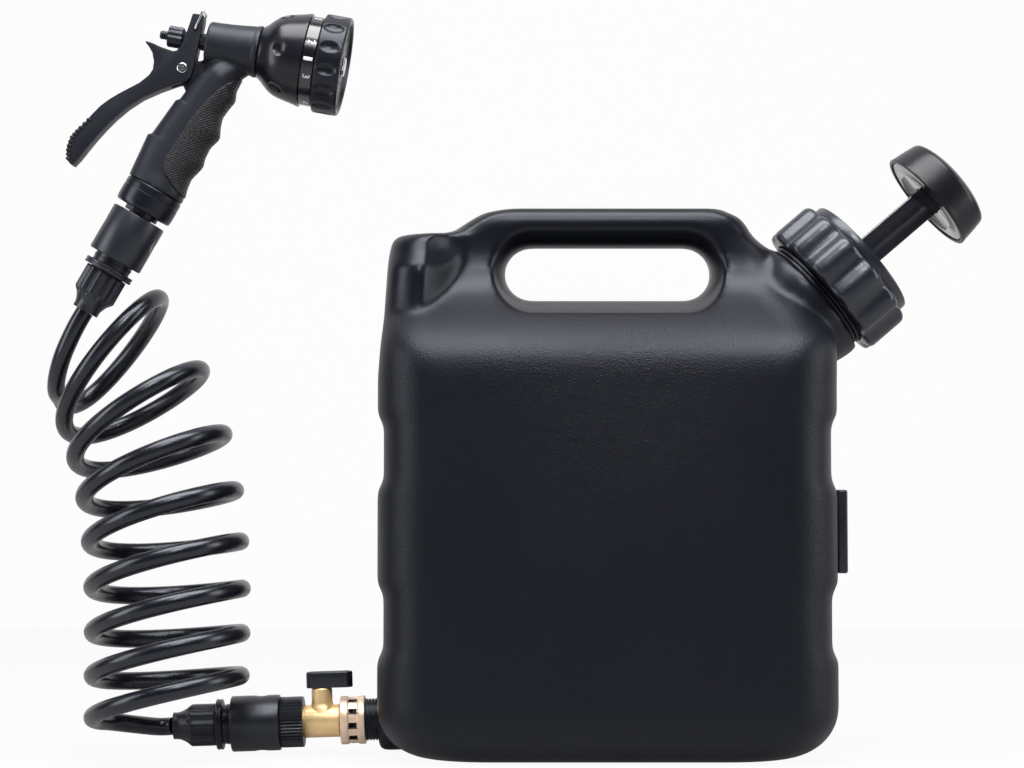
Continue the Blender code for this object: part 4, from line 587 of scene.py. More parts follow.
def brick(low, high):
    """A block between two corners, left in edit mode with points selected."""
    bpy.ops.object.select_all(action="DESELECT")
    low, high = Vector(low), Vector(high)
    bpy.ops.mesh.primitive_cube_add(size=1, location=(low + high) / 2, scale=high - low)
    piece = bpy.context.object
    bpy.ops.object.transform_apply(location=True, rotation=True, scale=True)
    bpy.ops.object.mode_set(mode="EDIT")
    bpy.context.tool_settings.mesh_select_mode = (True, False, False)
    return piece


plate_low, plate_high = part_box("side_plate")
plate_low = Vector(plate_low) - Vector((0, 0, 0.0062))
plate_high = Vector(plate_high) + Vector((0.0024, 0, 0.0014))
plate = brick(plate_low, plate_high)
bpy.ops.mesh.select_all(action="SELECT")
bpy.ops.mesh.bevel(offset=0.0016, segments=4, affect="EDGES")
pick("faces", lambda face: face.normal.x > 0.99)
bpy.ops.mesh.inset(thickness=0.0035)
bpy.ops.mesh.inset(thickness=0.0008, depth=-0.0008)
bpy.ops.object.mode_set(mode="OBJECT")
plastic_coat = worn_coat("satin_black", (0.0095, 0.0100, 0.0140), (0.28, 0.16), 45, 900, 0.0002, 0.25,
                         Specular_Tint=cool_shine)
finish(plate, plastic_coat, "side_label_plate", "tank", "black_plastic", "side_plate")

# Pump: sealing ring, cylinder and foot valve
# The moulded cylinder hangs in the tank from its flange on the neck. Its own solids are kept as they
# are: they sit inside the tank, and only get their finish.


def recoat(coat, *names):
    """Gives solids of the model a finish and leaves their shape alone."""
    for name in names:
        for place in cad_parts[name].material_slots:
            place.material = coat.material


rubber_coat = worn_coat("soft_black_rubber", (0.011, 0.011, 0.013), (0.55, 0.2), 70, 700, 0.0002, 0.4)
recoat(rubber_coat, "neck_gasket", "pump_check_valve", "piston_seal")
recoat(plastic_coat, "pump_cylinder", "piston")

# Pump collar
# The big nut that clamps the pump on the neck: twelve broad lobes for the hand, rounded at both ends.
# Injection moulded in satin black polypropylene.


def flute(piece, place, lobes, steps, depth, low, high, inside, sharp):
    """Presses hollows between the lobes of a turned piece and moves it to its place."""
    only(piece)
    bpy.ops.object.mode_set(mode="EDIT")
    per = steps // lobes
    for k in range(per):
        hollow = abs(math.cos(math.pi * k / per)) ** sharp
        if hollow < 0.01:
            continue
        turns = {(j * per + k) % steps for j in range(lobes)}

        def held(vert):
            spot = vert.co
            step = round(math.atan2(spot.y, spot.x) / math.tau * steps) % steps
            return step in turns and low <= spot.z <= high and math.hypot(spot.x, spot.y) > inside

        pick("verts", held)
        size = 1 - depth * hollow
        bpy.ops.transform.resize(value=(size, size, 1), center_override=(0, 0, 0))
    bpy.ops.object.mode_set(mode="OBJECT")
    settle(piece, place)


collar = turned(mm([
    (46.2, 0), (47.8, 0.3), (49, 1), (49.7, 2.2), (50, 4), (50, 12), (50, 20), (50, 26.2), (49.7, 28),
    (48.8, 29.6), (47.4, 30.6), (46, 31),
    (43.8, 31), (43.8, 30.5), (34.7, 30.5), (34.7, 25.4), (40.9, 25.4), (40.9, 21.2), (39.8, 20.4),
    (40.9, 19.6), (40.9, 0),
]), steps=144)
flute(collar, pump_place, 12, 144, depth=0.0042 / 0.050, low=-0.001, high=0.032, inside=0.045, sharp=3)
collar_coat = worn_coat("collar_black", (0.011, 0.012, 0.018), (0.24, 0.16), 55, 420, 0.00025, 0.3,
                        detail=3.0, Coat_Weight=0.12, Coat_Roughness=0.12, Specular_Tint=cool_shine)
finish(collar, collar_coat, "pump_collar_nut", "collar", "black_plastic", "pump_collar", angle=30)

# Pump cap
# The disc that closes the pump and guides the rod: a rounded rim, a sunk face and a raised guide.
cap = turned(mm([
    (10.1, 25.3), (33.7, 25.3), (33.7, 31.3), (41.8, 31.3), (42.5, 31.6), (42.7, 32.4), (42.7, 36.2),
    (42.4, 37.1), (41.7, 37.6), (39.5, 37.8), (38.5, 37.4), (30, 37.6), (20, 38.1), (16.5, 38.6),
    (15, 39.4), (13.5, 39.5), (12.6, 38.9), (12.2, 37.5), (10.1, 37.3),
]), pump_place, 128)
finish(cap, collar_coat, "pump_cap_disc", "tank", "black_plastic", "pump_cap")

# Plunger rod
# A cross of two webs, moulded in one with the boss that plugs into the knob. Satin black.
rod_arm, rod_web, rod_start, rod_end = 0.0095, 0.0017, -0.093, 0.110
rod = brick((-rod_web, -rod_web, rod_start), (rod_web, rod_web, rod_end))
for way in (Vector((1, 0, 0)), Vector((-1, 0, 0)), Vector((0, 1, 0)), Vector((0, -1, 0))):
    pick("faces", lambda face: face.normal.dot(way) > 0.99)
    bpy.ops.mesh.extrude_region_move(TRANSFORM_OT_translate={"value": way * (rod_arm - rod_web)})
bpy.ops.object.mode_set(mode="OBJECT")
apply(rod, "BEVEL", width=0.0008, segments=4, limit_method="ANGLE")
boss_ring = mm([(0, 85), (8.8, 85), (9.6, 85.3), (9.9, 86.1), (9.9, 90.5), (9.7, 92.5), (0, 92.5)])
cut(rod, turned(boss_ring, steps=48), operation="UNION")
settle(rod, pump_place)
rod_coat = worn_coat("polished_black", (0.012, 0.0125, 0.017), (0.16, 0.14), 40, 250, 0.0001, 0.2,
                     Coat_Weight=0.4, Coat_Roughness=0.08)
finish(rod, rod_coat, "plunger_cross_rod", "plunger", "black_plastic", "plunger_rod")

# Plunger knob
# A glossy domed cap with a rolled rim and a disc with one fine groove pressed into its underside.
dome_radius, dome_foot, dome_rise = 33, 112, 7
turns = [math.radians(5 + 5.6 * i) for i in range(15)]
dome = [(dome_radius * math.sin(turn), dome_foot + dome_rise * math.cos(turn) ** 1.3) for turn in turns]
knob = turned(mm([(0, dome_foot + dome_rise)] + dome + [
    (33.3, 111.2), (33.6, 109.5), (34.4, 105), (35.1, 100), (35.6, 96), (35.9, 94.8), (36, 93.8),
    (35.8, 93.2), (35.2, 93), (33.6, 93), (33.4, 93.6), (31.8, 102), (30.4, 111), (20, 114.5),
    (12.3, 114.8), (12.3, 97.2), (10.1, 97), (10.1, 110.8), (0, 110.8),
]), pump_place, 128)
gloss_coat = worn_coat("gloss_black", (0.006, 0.0062, 0.0085), (0.12, 0.14), 30, 90, 0.0002, 0.12,
                       Coat_Weight=0.5, Coat_Roughness=0.04)
knob_coat = worn_coat("knob_black", (0.0050, 0.0055, 0.0085), (0.26, 0.12), 30, 500, 0.0001, 0.15,
                      Specular_IOR_Level=0.3)
finish(knob, knob_coat, "plunger_round_knob", "plunger", "gloss_plastic", "plunger_knob", angle=30)
underside = turned(mm([
    (10.5, 94.4), (12.5, 94), (22, 93.8), (22.6, 93.5), (23.2, 93.8), (30, 93.6), (32.6, 93.8),
    (32.6, 96.7), (10.5, 96.7),
]), pump_place)
finish(underside, gloss_coat, "knob_underside_disc", "plunger", "black_plastic", "knob_underside")

# Outlet stub, its sealing ring and its nut inside the tank
# A black threaded pipe that is clamped through the tank's boss. Only its thread is seen, between the
# boss and the brass nut.
core, crest = 13, 13.8
stub_profile = [(8, -40.2), (core, -40.2), (core, 0.6)]
for i in range(8):
    foot = 0.8 + 2 * i
    stub_profile += [(core, foot), (crest, foot + 0.6), (crest, foot + 1), (core, foot + 1.6)]
stub = turned(mm(stub_profile + [(core - 0.6, 17.4), (8, 17.4)]), outlet_place)
finish(stub, plastic_coat, "outlet_threaded_stub", "tank", "black_plastic", "outlet_stub")
recoat(rubber_coat, "outlet_gasket", "swivel_washer", "tap_adaptor_washer", "stem_packing")
recoat(rubber_coat, "lower_o_ring", "upper_o_ring")
recoat(plastic_coat, "outlet_locknut")

# Swivel nut
# Pale brass, turned from bar with two flanges, and a ring of square pockets milled between them for
# a hook spanner. It turns on the stub.
nut_profile = mm([
    (14.4, 8.8), (15.4, 8.8), (15.7, 9.1), (15.7, 12.9), (15.4, 13.2), (15, 13.4), (15, 19.6),
    (15.4, 19.8), (15.7, 20.1), (15.7, 24.5), (15.4, 24.8), (9.2, 24.8), (9.2, 23), (14.4, 23),
])
swivel = turned(nut_profile, steps=100)
for i in range(10):
    pocket = brick((0.0120, -0.0020, 0.0138), (0.0170, 0.0020, 0.0192))
    bpy.ops.object.mode_set(mode="OBJECT")
    settle(pocket, turn_z(8 + 36 * i))
    cut(swivel, pocket)
settle(swivel, outlet_place)
apply(swivel, "BEVEL", width=0.00015, segments=2, limit_method="ANGLE", angle_limit=math.radians(40))
nut_coat = Coat("pale_brass", (0.90, 0.74, 0.60), 0.38, 0.5)
nut_spot = nut_coat.place()
nut_marks = nut_coat.noise(160.0, 4.0, nut_spot)
nut_tone = nut_coat.node("ValToRGB", {"stops": [(0.3, 0.86), (0.7, 1.0)]}, nut_marks)
multiply = {"data_type": "RGBA", "blend_type": "MULTIPLY"}
nut_colour = nut_coat.node("Mix", multiply, out=2, Factor=1.0, A=(0.95, 0.72, 0.53, 1), B=nut_tone)
nut_coat.set("Base Color", nut_colour)
nut_coat.set("Roughness", 0.32 + nut_marks * 0.18)
nut_coat.bump(nut_marks, 0.0001, 0.4)
finish(swivel, nut_coat, "swivel_nut_brass", "swivel", "brass", "swivel_nut")

# Tap body
# A brass ball tap: a turned barrel with the fine rings that the tool leaves, and an upright post for
# the stem, brazed in with a soft fillet. The ball, the seats and the stem keep their own solids.
tap_middle = 0.0369
tap_body = turned(mm([
    (0, 25.4), (10, 25.4), (10.5, 25.7), (10.65, 26.2), (10.65, 48), (10.4, 48.5), (10, 48.7),
    (10, 56.7), (0, 56.7),
]), outlet_place)
tap_upright = frame_at(outlet_place @ Vector((0, 0, tap_middle)), outlet_place.col[0].xyz)
post = turned(mm([
    (0, 4), (9.2, 4), (8.6, 8.8), (7.8, 9.8), (7.1, 11.2), (6.8, 13), (6.8, 20.5), (6.6, 21.1),
    (6.2, 21.5), (0, 21.5),
]), tap_upright, 64)
cut(tap_body, post, operation="UNION")
bore(tap_body, 8.2, 24, 44.8, outlet_place)
bore(tap_body, 5, 30, 60, outlet_place)
stem_bore = mm([(0, 4), (2.85, 4), (2.85, 18.8), (4.6, 18.8), (4.6, 24), (0, 24)])
cut(tap_body, turned(stem_bore, tap_upright, 48))
brass_coat = Coat("turned_brass", (0.93, 0.75, 0.48), 0.38, 0.65)
brass_spot = brass_coat.place()
brass_rings = brass_coat.node("TexWave", {"wave_type": "BANDS", "bands_direction": "X"},
                              Vector=brass_spot, Scale=520.0, Distortion=0.6, Detail=2.0)
brass_stain = brass_coat.noise(90.0, 5.0, brass_spot)
brass_tone = brass_coat.node("ValToRGB", {"stops": [(0.25, 0.82), (0.65, 1.0)]}, brass_stain)
brass_colour = brass_coat.node("Mix", multiply, out=2, Factor=1.0, A=(0.97, 0.69, 0.35, 1), B=brass_tone)
brass_coat.set("Base Color", brass_colour)
brass_coat.set("Roughness", 0.34 + brass_stain * 0.14 + brass_rings * 0.05)
brass_coat.bump(brass_rings, 0.00008, 0.3)
finish(tap_body, brass_coat, "tap_brass_body", "tank", "brass", "tap_body")
recoat(brass_coat, "tap_tailpiece", "tap_stem")
steel_coat = Coat("bright_steel", (0.60, 0.61, 0.63), 0.2, 1.0)
steel_scuffs = steel_coat.noise(240.0, 4.0)
steel_coat.set("Roughness", 0.14 + steel_scuffs * 0.18)
steel_coat.bump(steel_scuffs, 0.0001, 0.2)
recoat(steel_coat, "tap_ball", "tap_lever_screw", "lower_sleeve_spring", "upper_sleeve_spring")
seat_coat = Coat("white_ptfe", (0.78, 0.78, 0.76), 0.4)
seat_coat.set("Roughness", 0.35 + seat_coat.noise(120.0, 3.0) * 0.15)
seat_coat.bump(seat_coat.noise(300.0, 2.0), 0.0001, 0.2)
recoat(seat_coat, "tap_seat_inner", "tap_seat_outer")

# Tap lever
# A black moulded thumb lever with rounded corners, held on the stem by a screw in a sunk hole.
lever_low, lever_high, lever_half, lever_side, lever_shift = 0.0218, 0.0322, 0.0151, 0.00575, 0.0052
thumb = brick((lever_shift - lever_half, -lever_side, lever_low),
              (lever_shift + lever_half, lever_side, lever_high))
pick("edges", lambda edge: abs(edge.verts[0].co.z - edge.verts[1].co.z) > 0.005)
bpy.ops.mesh.bevel(offset=0.0044, segments=8, affect="EDGES")
pick("faces", lambda face: face.normal.z > 0.99)
bpy.ops.mesh.bevel(offset=0.0011, segments=4, affect="EDGES")
pick("faces", lambda face: face.normal.z > 0.99)
bpy.ops.mesh.inset(thickness=0.0010)
bpy.ops.mesh.inset(thickness=0.0004, depth=-0.0003)
pick("faces", lambda face: face.normal.z < -0.99)
bpy.ops.mesh.bevel(offset=0.0005, segments=2, affect="EDGES")
bpy.ops.object.mode_set(mode="OBJECT")
screw_bore = mm([
    (0, 19.8), (2.9, 19.8), (2.9, 25), (1.6, 25), (1.6, 29.8), (3.5, 29.8), (3.5, 34.5), (0, 34.5),
])
cut(thumb, turned(screw_bore, steps=32))
settle(thumb, frame_at(tap_upright.translation, tap_upright.col[2].xyz))
finish(thumb, plastic_coat, "tap_thumb_lever", "tap_key", "black_plastic", "tap_lever")

# Tap adaptor
# The black threaded ring between the tap and the quick connector, ribbed all round for the fingers.
lower_place = frame_at(lower_end, -lower_way)
adaptor = turned(mm([
    (3, 55.2), (7.4, 55.2), (7.9, 55.8), (7.9, 70.3), (15.7, 70.3), (16.3, 70.6), (16.5, 71.2),
    (16.5, 72.2), (16.5, 78), (16.5, 83.8), (16.5, 84.6), (16.2, 85.3), (15.6, 85.5), (10.3, 85.5),
    (10.3, 76), (3, 76),
]), steps=192)
flute(adaptor, lower_place, 48, 192, depth=0.062, low=0.0705, high=0.0850, inside=0.0140, sharp=1.4)
finish(adaptor, plastic_coat, "tap_ribbed_adaptor", "tank", "black_plastic", "tap_adaptor", angle=25)

# Quick connectors
# One below at the tap and one above at the gun, alike: a ribbed nut with a strain relief that clamps
# the hose, a body with a stop flange, and a sleeve that is pulled back against its spring.


def ball(segments, rings, spot, half_sizes):
    """A ball, or an egg of three half widths."""
    bpy.ops.object.select_all(action="DESELECT")
    bpy.ops.mesh.primitive_uv_sphere_add(segments=segments, ring_count=rings, radius=1,
                                         location=spot, scale=half_sizes)
    return bpy.context.object


upper_place = frame_at(upper_end, upper_way)
connectors = {"lower": lower_place, "upper": upper_place}
cord_pieces = []
for name, place in connectors.items():
    nut = turned(mm([
        (8.7, 0), (8.75, 0.4), (8.75, 2.8), (9, 4.2), (9.8, 6.2), (10.8, 8.2), (11.8, 9.6), (13, 10.8),
        (13.9, 12.2), (13.9, 14), (13.9, 20), (13.9, 26.2), (13.9, 27.4), (13.5, 28), (12.8, 28.2),
        (11.6, 28.2), (11.6, 12), (6.1, 8), (6.1, 0),
    ]), steps=120)
    flute(nut, place, 10, 120, depth=0.115, low=0.0100, high=0.0290, inside=0.0120, sharp=4)
    finish(nut, plastic_coat, name + "_ribbed_nut", "tank",
           "black_plastic", name + "_hose_nut", angle=28)
    body = turned(mm([
        (3, 3), (4.2, 3), (4.6, 3.6), (4.6, 13.2), (11.3, 13.2), (11.3, 28.5), (16, 28.5), (16.5, 28.9),
        (16.5, 29.9), (16.1, 30.3), (16.1, 30.7), (16.4, 31), (16.4, 32.1), (16, 32.5), (13.4, 32.5),
        (12.8, 33), (12.8, 35.2), (13.2, 35.5), (13.2, 36.2), (12.8, 36.5), (12.8, 39.5), (15.1, 39.5),
        (15.1, 41), (12.8, 41), (12.8, 50.5), (15.1, 50.5), (15.1, 66.2), (14.7, 67), (9, 67),
        (8.6, 66.6), (8.6, 51), (3, 51),
    ]), place)
    finish(body, plastic_coat, name + "_body", "tank",
           "black_plastic", name + "_connector_body", angle=28)
    sleeve = turned(mm([
        (15.7, 38.1), (17.1, 38.1), (17.8, 38.4), (18.1, 39.1), (18.1, 69.2), (17.8, 69.8), (17.2, 70),
        (15.7, 70), (15.7, 50.2), (13.4, 50.2), (13.4, 48.4), (15.7, 48.4),
    ]), steps=120)
    for side in (-1, 1):
        cut(sleeve, ball(48, 24, (side * 0.0230, 0, 0.0576), (0.0066, 0.0130, 0.0072)))
    settle(sleeve, place)
    finish(sleeve, plastic_coat, name + "_pull_sleeve", name + "_lock",
           "black_plastic", name + "_sleeve", angle=28)
    cord_pieces += [nut, body, sleeve]

# Gun tail ring
# A satin moulded ring that closes the grip's foot, with a seam at half its height. The nipple in it
# plugs into the upper connector and keeps its own solid.
tail_ring = turned(mm([
    (14.8, 74), (17.8, 74), (18.6, 74.4), (19, 75.2), (19.2, 76.8), (19.3, 79), (19.3, 84.6),
    (19, 84.9), (19, 85.3), (19.2, 85.6), (19.2, 88.8), (19, 89.8), (18.4, 90.4), (14.8, 90.5),
]), upper_place, 112)
foot_coat = worn_coat("foot_satin", (0.0055, 0.0060, 0.0095), (0.25, 0.12), 50, 600, 0.0001, 0.2,
                      Specular_IOR_Level=0.34, Specular_Tint=cool_shine)
finish(tail_ring, foot_coat, "gun_foot_ring", "tank", "gloss_plastic", "gun_tail_ring", angle=30)
recoat(plastic_coat, "gun_nipple", "spray_core")
recoat(steel_coat, "return_spring", "dial_screw")
recoat(rubber_coat, "poppet")

# Gun body
# Barrel and grip moulded in one, with a soft black skin: finger waves in front, stepped ledges behind,
# and under the barrel the lug that carries the trigger.
head_droop = math.radians(10.2)
head_way = (math.cos(head_droop), 0, -math.sin(head_droop))
head_place = frame_at((-0.2602, -0.040, 0.4617), head_way, (0, -1, 0))
grip_start, grip_end, grip_taper, grip_squareness = 0.0908, 0.187, 0.172, 0.88
grip_front = mm([
    (90.8, 19), (94, 18.8), (101, 16.7), (108.1, 15.8), (114, 17.5), (118.7, 18.6), (123.7, 16.8),
    (131.7, 16.3), (136, 17.7), (139.8, 18.8), (145, 16), (152.4, 13.4), (159.7, 14.2), (165.6, 15.4),
    (172.1, 12.5), (180, 12.9), (184.9, 17.4), (187, 18),
])
grip_rear = mm([
    (90.8, 19.2), (94, 19.6), (119.5, 22.1), (120.5, 20), (147.5, 17.4), (148.5, 15.5), (170.5, 12.6),
    (171.5, 11.2), (187, 9),
])
grip_thick = mm([
    (90.8, 18.2), (100, 16.8), (115, 15.8), (150, 14.8), (187, 13.8),
])


def grip_spot(along, angle, proud=0.0):
    """A point of the grip's skin; the angle starts at the front."""
    reach = read(along, grip_front, 0.0016) if math.cos(angle) > 0 else read(along, grip_rear)
    side = read(along, grip_thick)
    end = max((along - grip_taper) / (grip_end - grip_taper), 0.0)
    reach, side = reach * (1 - 0.18 * end ** 2), side * (1 - 0.45 * end ** 2)
    x = math.copysign(abs(math.cos(angle)) ** grip_squareness, math.cos(angle)) * (reach + proud)
    y = math.copysign(abs(math.sin(angle)) ** grip_squareness, math.sin(angle)) * (side + proud)
    return Vector((x, y, along))


def flat_piece(outline, half, place):
    """A flat piece: an outline of (along, above) pairs, filled and thickened both ways."""
    piece = drawn([(above, -half, along) for along, above in outline])
    bpy.ops.mesh.edge_face_add()
    bpy.ops.mesh.extrude_region_move(TRANSFORM_OT_translate={"value": (0, 2 * half, 0)})
    bpy.ops.mesh.select_all(action="SELECT")
    bpy.ops.mesh.normals_make_consistent(inside=False)
    bpy.ops.object.mode_set(mode="OBJECT")
    settle(piece, place)
    return piece


levels = [grip_start + (grip_end - grip_start) * i / 96 for i in range(97)]
levels = sorted(set(levels + [0.1195, 0.1205, 0.1475, 0.1485, 0.1705, 0.1715]))
gun = skinned("gun", [[grip_spot(z, math.tau * i / 64) for i in range(64)] for z in levels])
settle(gun, upper_place)
barrel = turned(mm([
    (0, 0), (12.2, 0), (13.4, 0.4), (14, 1.4), (14.1, 6), (14.5, 14), (15.2, 22), (16, 29), (16, 31.2),
    (16.7, 31.8), (16.9, 34.6), (0, 35),
]), head_place)
pivot_along, pivot_above = -0.012, -0.020
lug_radius, turns = 0.0046, [math.radians(80 + 15 * i) for i in range(11)]
lug_outline = [(0.006, pivot_above + 0.010)] + [
    (pivot_along + lug_radius * math.cos(turn), pivot_above + lug_radius * math.sin(turn))
    for turn in turns
] + [(pivot_along + 0.005, pivot_above - 0.015), (0.006, pivot_above - 0.022)]
lug = flat_piece(lug_outline, 0.0026, head_place)
only(gun, barrel, lug)
bpy.ops.object.join()
apply(gun, "REMESH", mode="VOXEL", voxel_size=0.0007)
apply(gun, "SMOOTH", factor=0.5, iterations=5)
spigot = turned(mm([(0, 78.5), (14.5, 78.5), (14.5, 93), (0, 93)]), upper_place, 64)
cut(gun, spigot, operation="UNION")
meet = 1000 * (head_place.translation - upper_place.translation).dot(upper_place.col[2].xyz) - 8
grip_bore = mm([(0, 76.5), (8.5, 76.5), (8.5, 88.5), (6, 88.5), (6, meet), (0, meet)])
cut(gun, turned(grip_bore, upper_place, 40))
cut(gun, turned(mm([(0, -2), (4.5, -2), (4.5, 5), (10.4, 5), (10.4, 40), (0, 40)]),
                head_place, 48))
pin_place = frame_at(head_place @ Vector((pivot_above, 0, pivot_along)), (0, 1, 0), (0, 0, 1))
bore(gun, 2.15, -20, 20, pin_place, 24)
skin_coat = worn_coat("soft_gun_skin", (0.0085, 0.0092, 0.0135), (0.36, 0.18), 60, 1100, 0.00015, 0.3,
                      Specular_IOR_Level=0.32, Specular_Tint=cool_shine)
finish(gun, skin_coat, "gun_barrel_and_grip", "tank", "soft_rubber", "gun_body", angle=40)

# Grip pad
# A soft cross-hatched insert moulded over the grip's front and both sides.
pad_edge = mm([
    (94.5, 18.6), (96, 14), (99, 8), (101.8, 3.3), (106, -0.4), (110.8, -1.9), (121.7, -1.4),
    (143.3, -0.2), (156, 2.2), (168.6, 6.1), (176, 10), (180, 12.6),
])
pad_start, pad_end, pad_steps, pad_proud, pad_rings = 0.0952, 0.1795, 20, 0.0009, []
for i in range(61):
    along = pad_start + (pad_end - pad_start) * i / 60
    edge = read(along, pad_edge)
    front = read(along, grip_front, 0.0016)
    reach = front if edge > 0 else read(along, grip_rear)
    share = min(abs(edge) / reach, 0.98) ** (1 / grip_squareness)
    widest = math.acos(share) if edge > 0 else math.pi - math.acos(share)
    steps = range(-pad_steps, pad_steps + 1)
    proud = [pad_proud * min(1.0, (pad_steps - abs(k)) / 1.5 + 0.25) for k in steps]
    outer = [grip_spot(along, widest * k / pad_steps, rise) for k, rise in zip(steps, proud)]
    inner = [grip_spot(along, widest * k / pad_steps, 0.0001) for k in steps[::-1]]
    pad_rings.append(outer + inner)
pad = skinned("pad", pad_rings)
settle(pad, upper_place)
pad_coat = Coat("hatched_rubber", (0.006, 0.0064, 0.009), 0.55, Specular_IOR_Level=0.35)
pad_spot = pad_coat.place()
hatch = []
for turn in (-38, 52):
    rotation = (0, upper_slope + math.radians(turn), 0)
    turned_spot = pad_coat.node("Mapping", Vector=pad_spot, Rotation=rotation)
    hatch.append(pad_coat.node("TexWave", {"wave_type": "BANDS", "bands_direction": "X"},
                               Vector=turned_spot, Scale=210.0, Distortion=1.5, Detail=1.0))
pad_coat.set("Roughness", 0.45 + hatch[0] * hatch[1] * 0.3)
pad_coat.bump(hatch[0] * hatch[1], 0.0006, 0.9)
finish(pad, pad_coat, "grip_hatched_pad", "tank", "soft_rubber", "grip_pad", angle=50)

# Gun bell
# A glossy moulded bell screwed on to the barrel, with six round dimples pressed into its swell.
bell = turned(mm([
    (5, 28.3), (10.1, 28.3), (10.1, 35.3), (16.5, 35.3), (16.9, 35.7), (17.4, 36.6), (19, 38.4),
    (21, 40.4), (23, 42.6), (24.8, 45), (26.2, 47.8), (27.2, 51), (28.1, 54.8), (29, 59), (29.8, 62.2),
    (30.3, 64), (30.4, 64.8), (30, 65), (27.8, 65), (27, 57), (23.6, 51.3), (5, 41.3),
]), steps=128)
head_turn, dimple_radius, dimple_spot = 29, 0.0100, Vector((0.0347, 0, 0.0474))
for i in range(6):
    cut(bell, ball(64, 32, turn_z(head_turn + 60 * i) @ dimple_spot, [dimple_radius] * 3))
settle(bell, head_place)
bell_coat = worn_coat("bell_gloss", (0.0045, 0.0050, 0.0085), (0.20, 0.14), 50, 300, 0.00015, 0.2,
                      Specular_IOR_Level=0.32, Coat_Weight=0.05, Coat_Roughness=0.1)
finish(bell, bell_coat, "gun_bell_cup", "tank", "soft_rubber", "gun_bell")

# Number ring
# A glossy ring behind the dial, pad printed in white with the numbers of the eight patterns.
ring_profile = mm([(25.6, 65.3), (28.4, 65.3), (29, 65.6), (29, 72.9), (28.7, 73.3), (25.6, 73.3)])
ring = turned(ring_profile, head_place, 128)
finish(ring, gloss_coat, "gun_number_ring", "tank", "black_plastic", "number_ring", angle=30)
print_coat = Coat("white_print", (0.74, 0.75, 0.77), 0.5)
print_coat.set("Roughness", 0.42 + print_coat.noise(900.0, 2.0) * 0.2)
print_coat.bump(print_coat.noise(1500.0, 2.0), 0.00005, 0.2)
prints = []
for i in range(8):
    bpy.ops.object.select_all(action="DESELECT")
    bpy.ops.object.text_add()
    number = bpy.context.object
    number.data.body = str(i + 1)
    number.data.size = 0.0066
    number.data.align_x = "CENTER"
    number.data.align_y = "CENTER"
    number.data.extrude = 0.0001
    bpy.ops.object.convert(target="MESH")
    upright = Matrix.Translation((0.02905, 0, 0.0693)) @ Matrix.Rotation(math.radians(90), 4, "Y")
    settle(number, head_place @ turn_z(head_turn + 45 * i) @ upright @ turn_z(90))
    prints.append(number)
index = brick((0.0288, -0.0012, 0.0662), (0.0293, 0.0012, 0.0722))
bpy.ops.mesh.select_all(action="SELECT")
bpy.ops.mesh.bevel(offset=0.0002, segments=2, affect="EDGES")
bpy.ops.object.mode_set(mode="OBJECT")
settle(index, head_place @ turn_z(96.5))
only(index, *prints)
bpy.ops.object.join()
finish(index, print_coat, "ring_white_numbers", "tank", "white_plastic")

# Spray dial
# The soft turning dial: fourteen finger hollows scooped all round its rim, and its face of jets.
dial = turned(mm([
    (27.4, 73.9), (30.6, 73.9), (31.6, 74.3), (32, 75.2), (32, 80), (32, 85), (32, 89.2), (31.7, 90),
    (31, 90.6), (30.2, 90.7), (29, 90.4), (27.4, 88.6),
]), steps=160)
scoops = 14
for i in range(scoops):
    scoop = ball(48, 24, (0, 0, 0), (0.0042, 0.0056, 0.0082))
    settle(scoop, turn_z(1.5 + 360 / scoops * i) @ Matrix.Translation((0.0343, 0, 0.0818)))
    cut(dial, scoop)
settle(dial, head_place)
finish(dial, foot_coat, "spray_turning_dial", "dial", "soft_rubber", "spray_dial", angle=32)
face = turned(mm([
    (4.6, 85.7), (27, 85.7), (27, 88.4), (26.2, 88.7), (23.2, 88.7), (22.8, 88.3), (11.8, 88.3),
    (11.4, 88.7), (9, 88.9), (5.6, 88.9), (4.6, 88.6),
]))
jets = ((0.0170, 0, 1.6), (0.0135, 30, 0.8), (0.0203, 20, 0.7), (0.0203, 40, 0.7))
for i in range(6):
    for away, spread, radius in jets:
        turn = math.radians(60 * i + spread)
        spot = Matrix.Translation((away * math.cos(turn), away * math.sin(turn), 0))
        bore(face, radius, 84.5, 90, spot, 16)
settle(face, head_place)
finish(face, plastic_coat, "dial_jet_face", "dial", "black_plastic", "dial_face", angle=30)

# Trigger lever
# A stiff moulded lever with a horn for the thumb and rows of small studs near its tip. It hangs on a
# steel pin through the gun's lug and straddles the valve's rod.
lever_outline = mm([
    (-11.8, 15.5), (-11.2, 16.2), (-5.2, 16.5), (-4.4, 15.8), (-4.2, 12), (-4.4, 4), (-4.6, -6),
    (-4.8, -15), (-5, -21), (-5.8, -25.3), (-8.2, -28.4), (-13.7, -30.6), (-24, -36.5), (-34.4, -43.6),
    (-42.5, -51.3), (-49.2, -59.5), (-54, -66.4), (-59, -74.5), (-63.4, -82.5), (-66.8, -89),
    (-70.2, -94.2), (-71.8, -93.8), (-74, -91.5), (-75.3, -86.8), (-75.7, -82.8), (-75.1, -78.8),
    (-73.9, -74.9), (-71.2, -70.8), (-67.7, -66.2), (-64, -60.2), (-59.5, -53.5), (-54.8, -48.4),
    (-49.5, -43.7), (-43.6, -39), (-37.4, -34.2), (-32.2, -28.2), (-30.5, -24), (-30.8, -19),
    (-32.8, -13.5), (-36, -9.8), (-38.5, -7.6), (-38.2, -6.8), (-34, -7.3), (-28, -8.9), (-20, -10.2),
    (-17.8, -9.5), (-16, -7.2), (-14, 0), (-12.8, 8),
])
trigger = flat_piece(lever_outline, 0.0070, Matrix.Identity(4))
apply(trigger, "BEVEL", width=0.0009, segments=3, limit_method="ANGLE", angle_limit=math.radians(60))
slot_low = (pivot_above - 0.030, -0.0030, pivot_along - 0.0056)
slot_high = (pivot_above + 0.0096, 0.0030, pivot_along + 0.020)
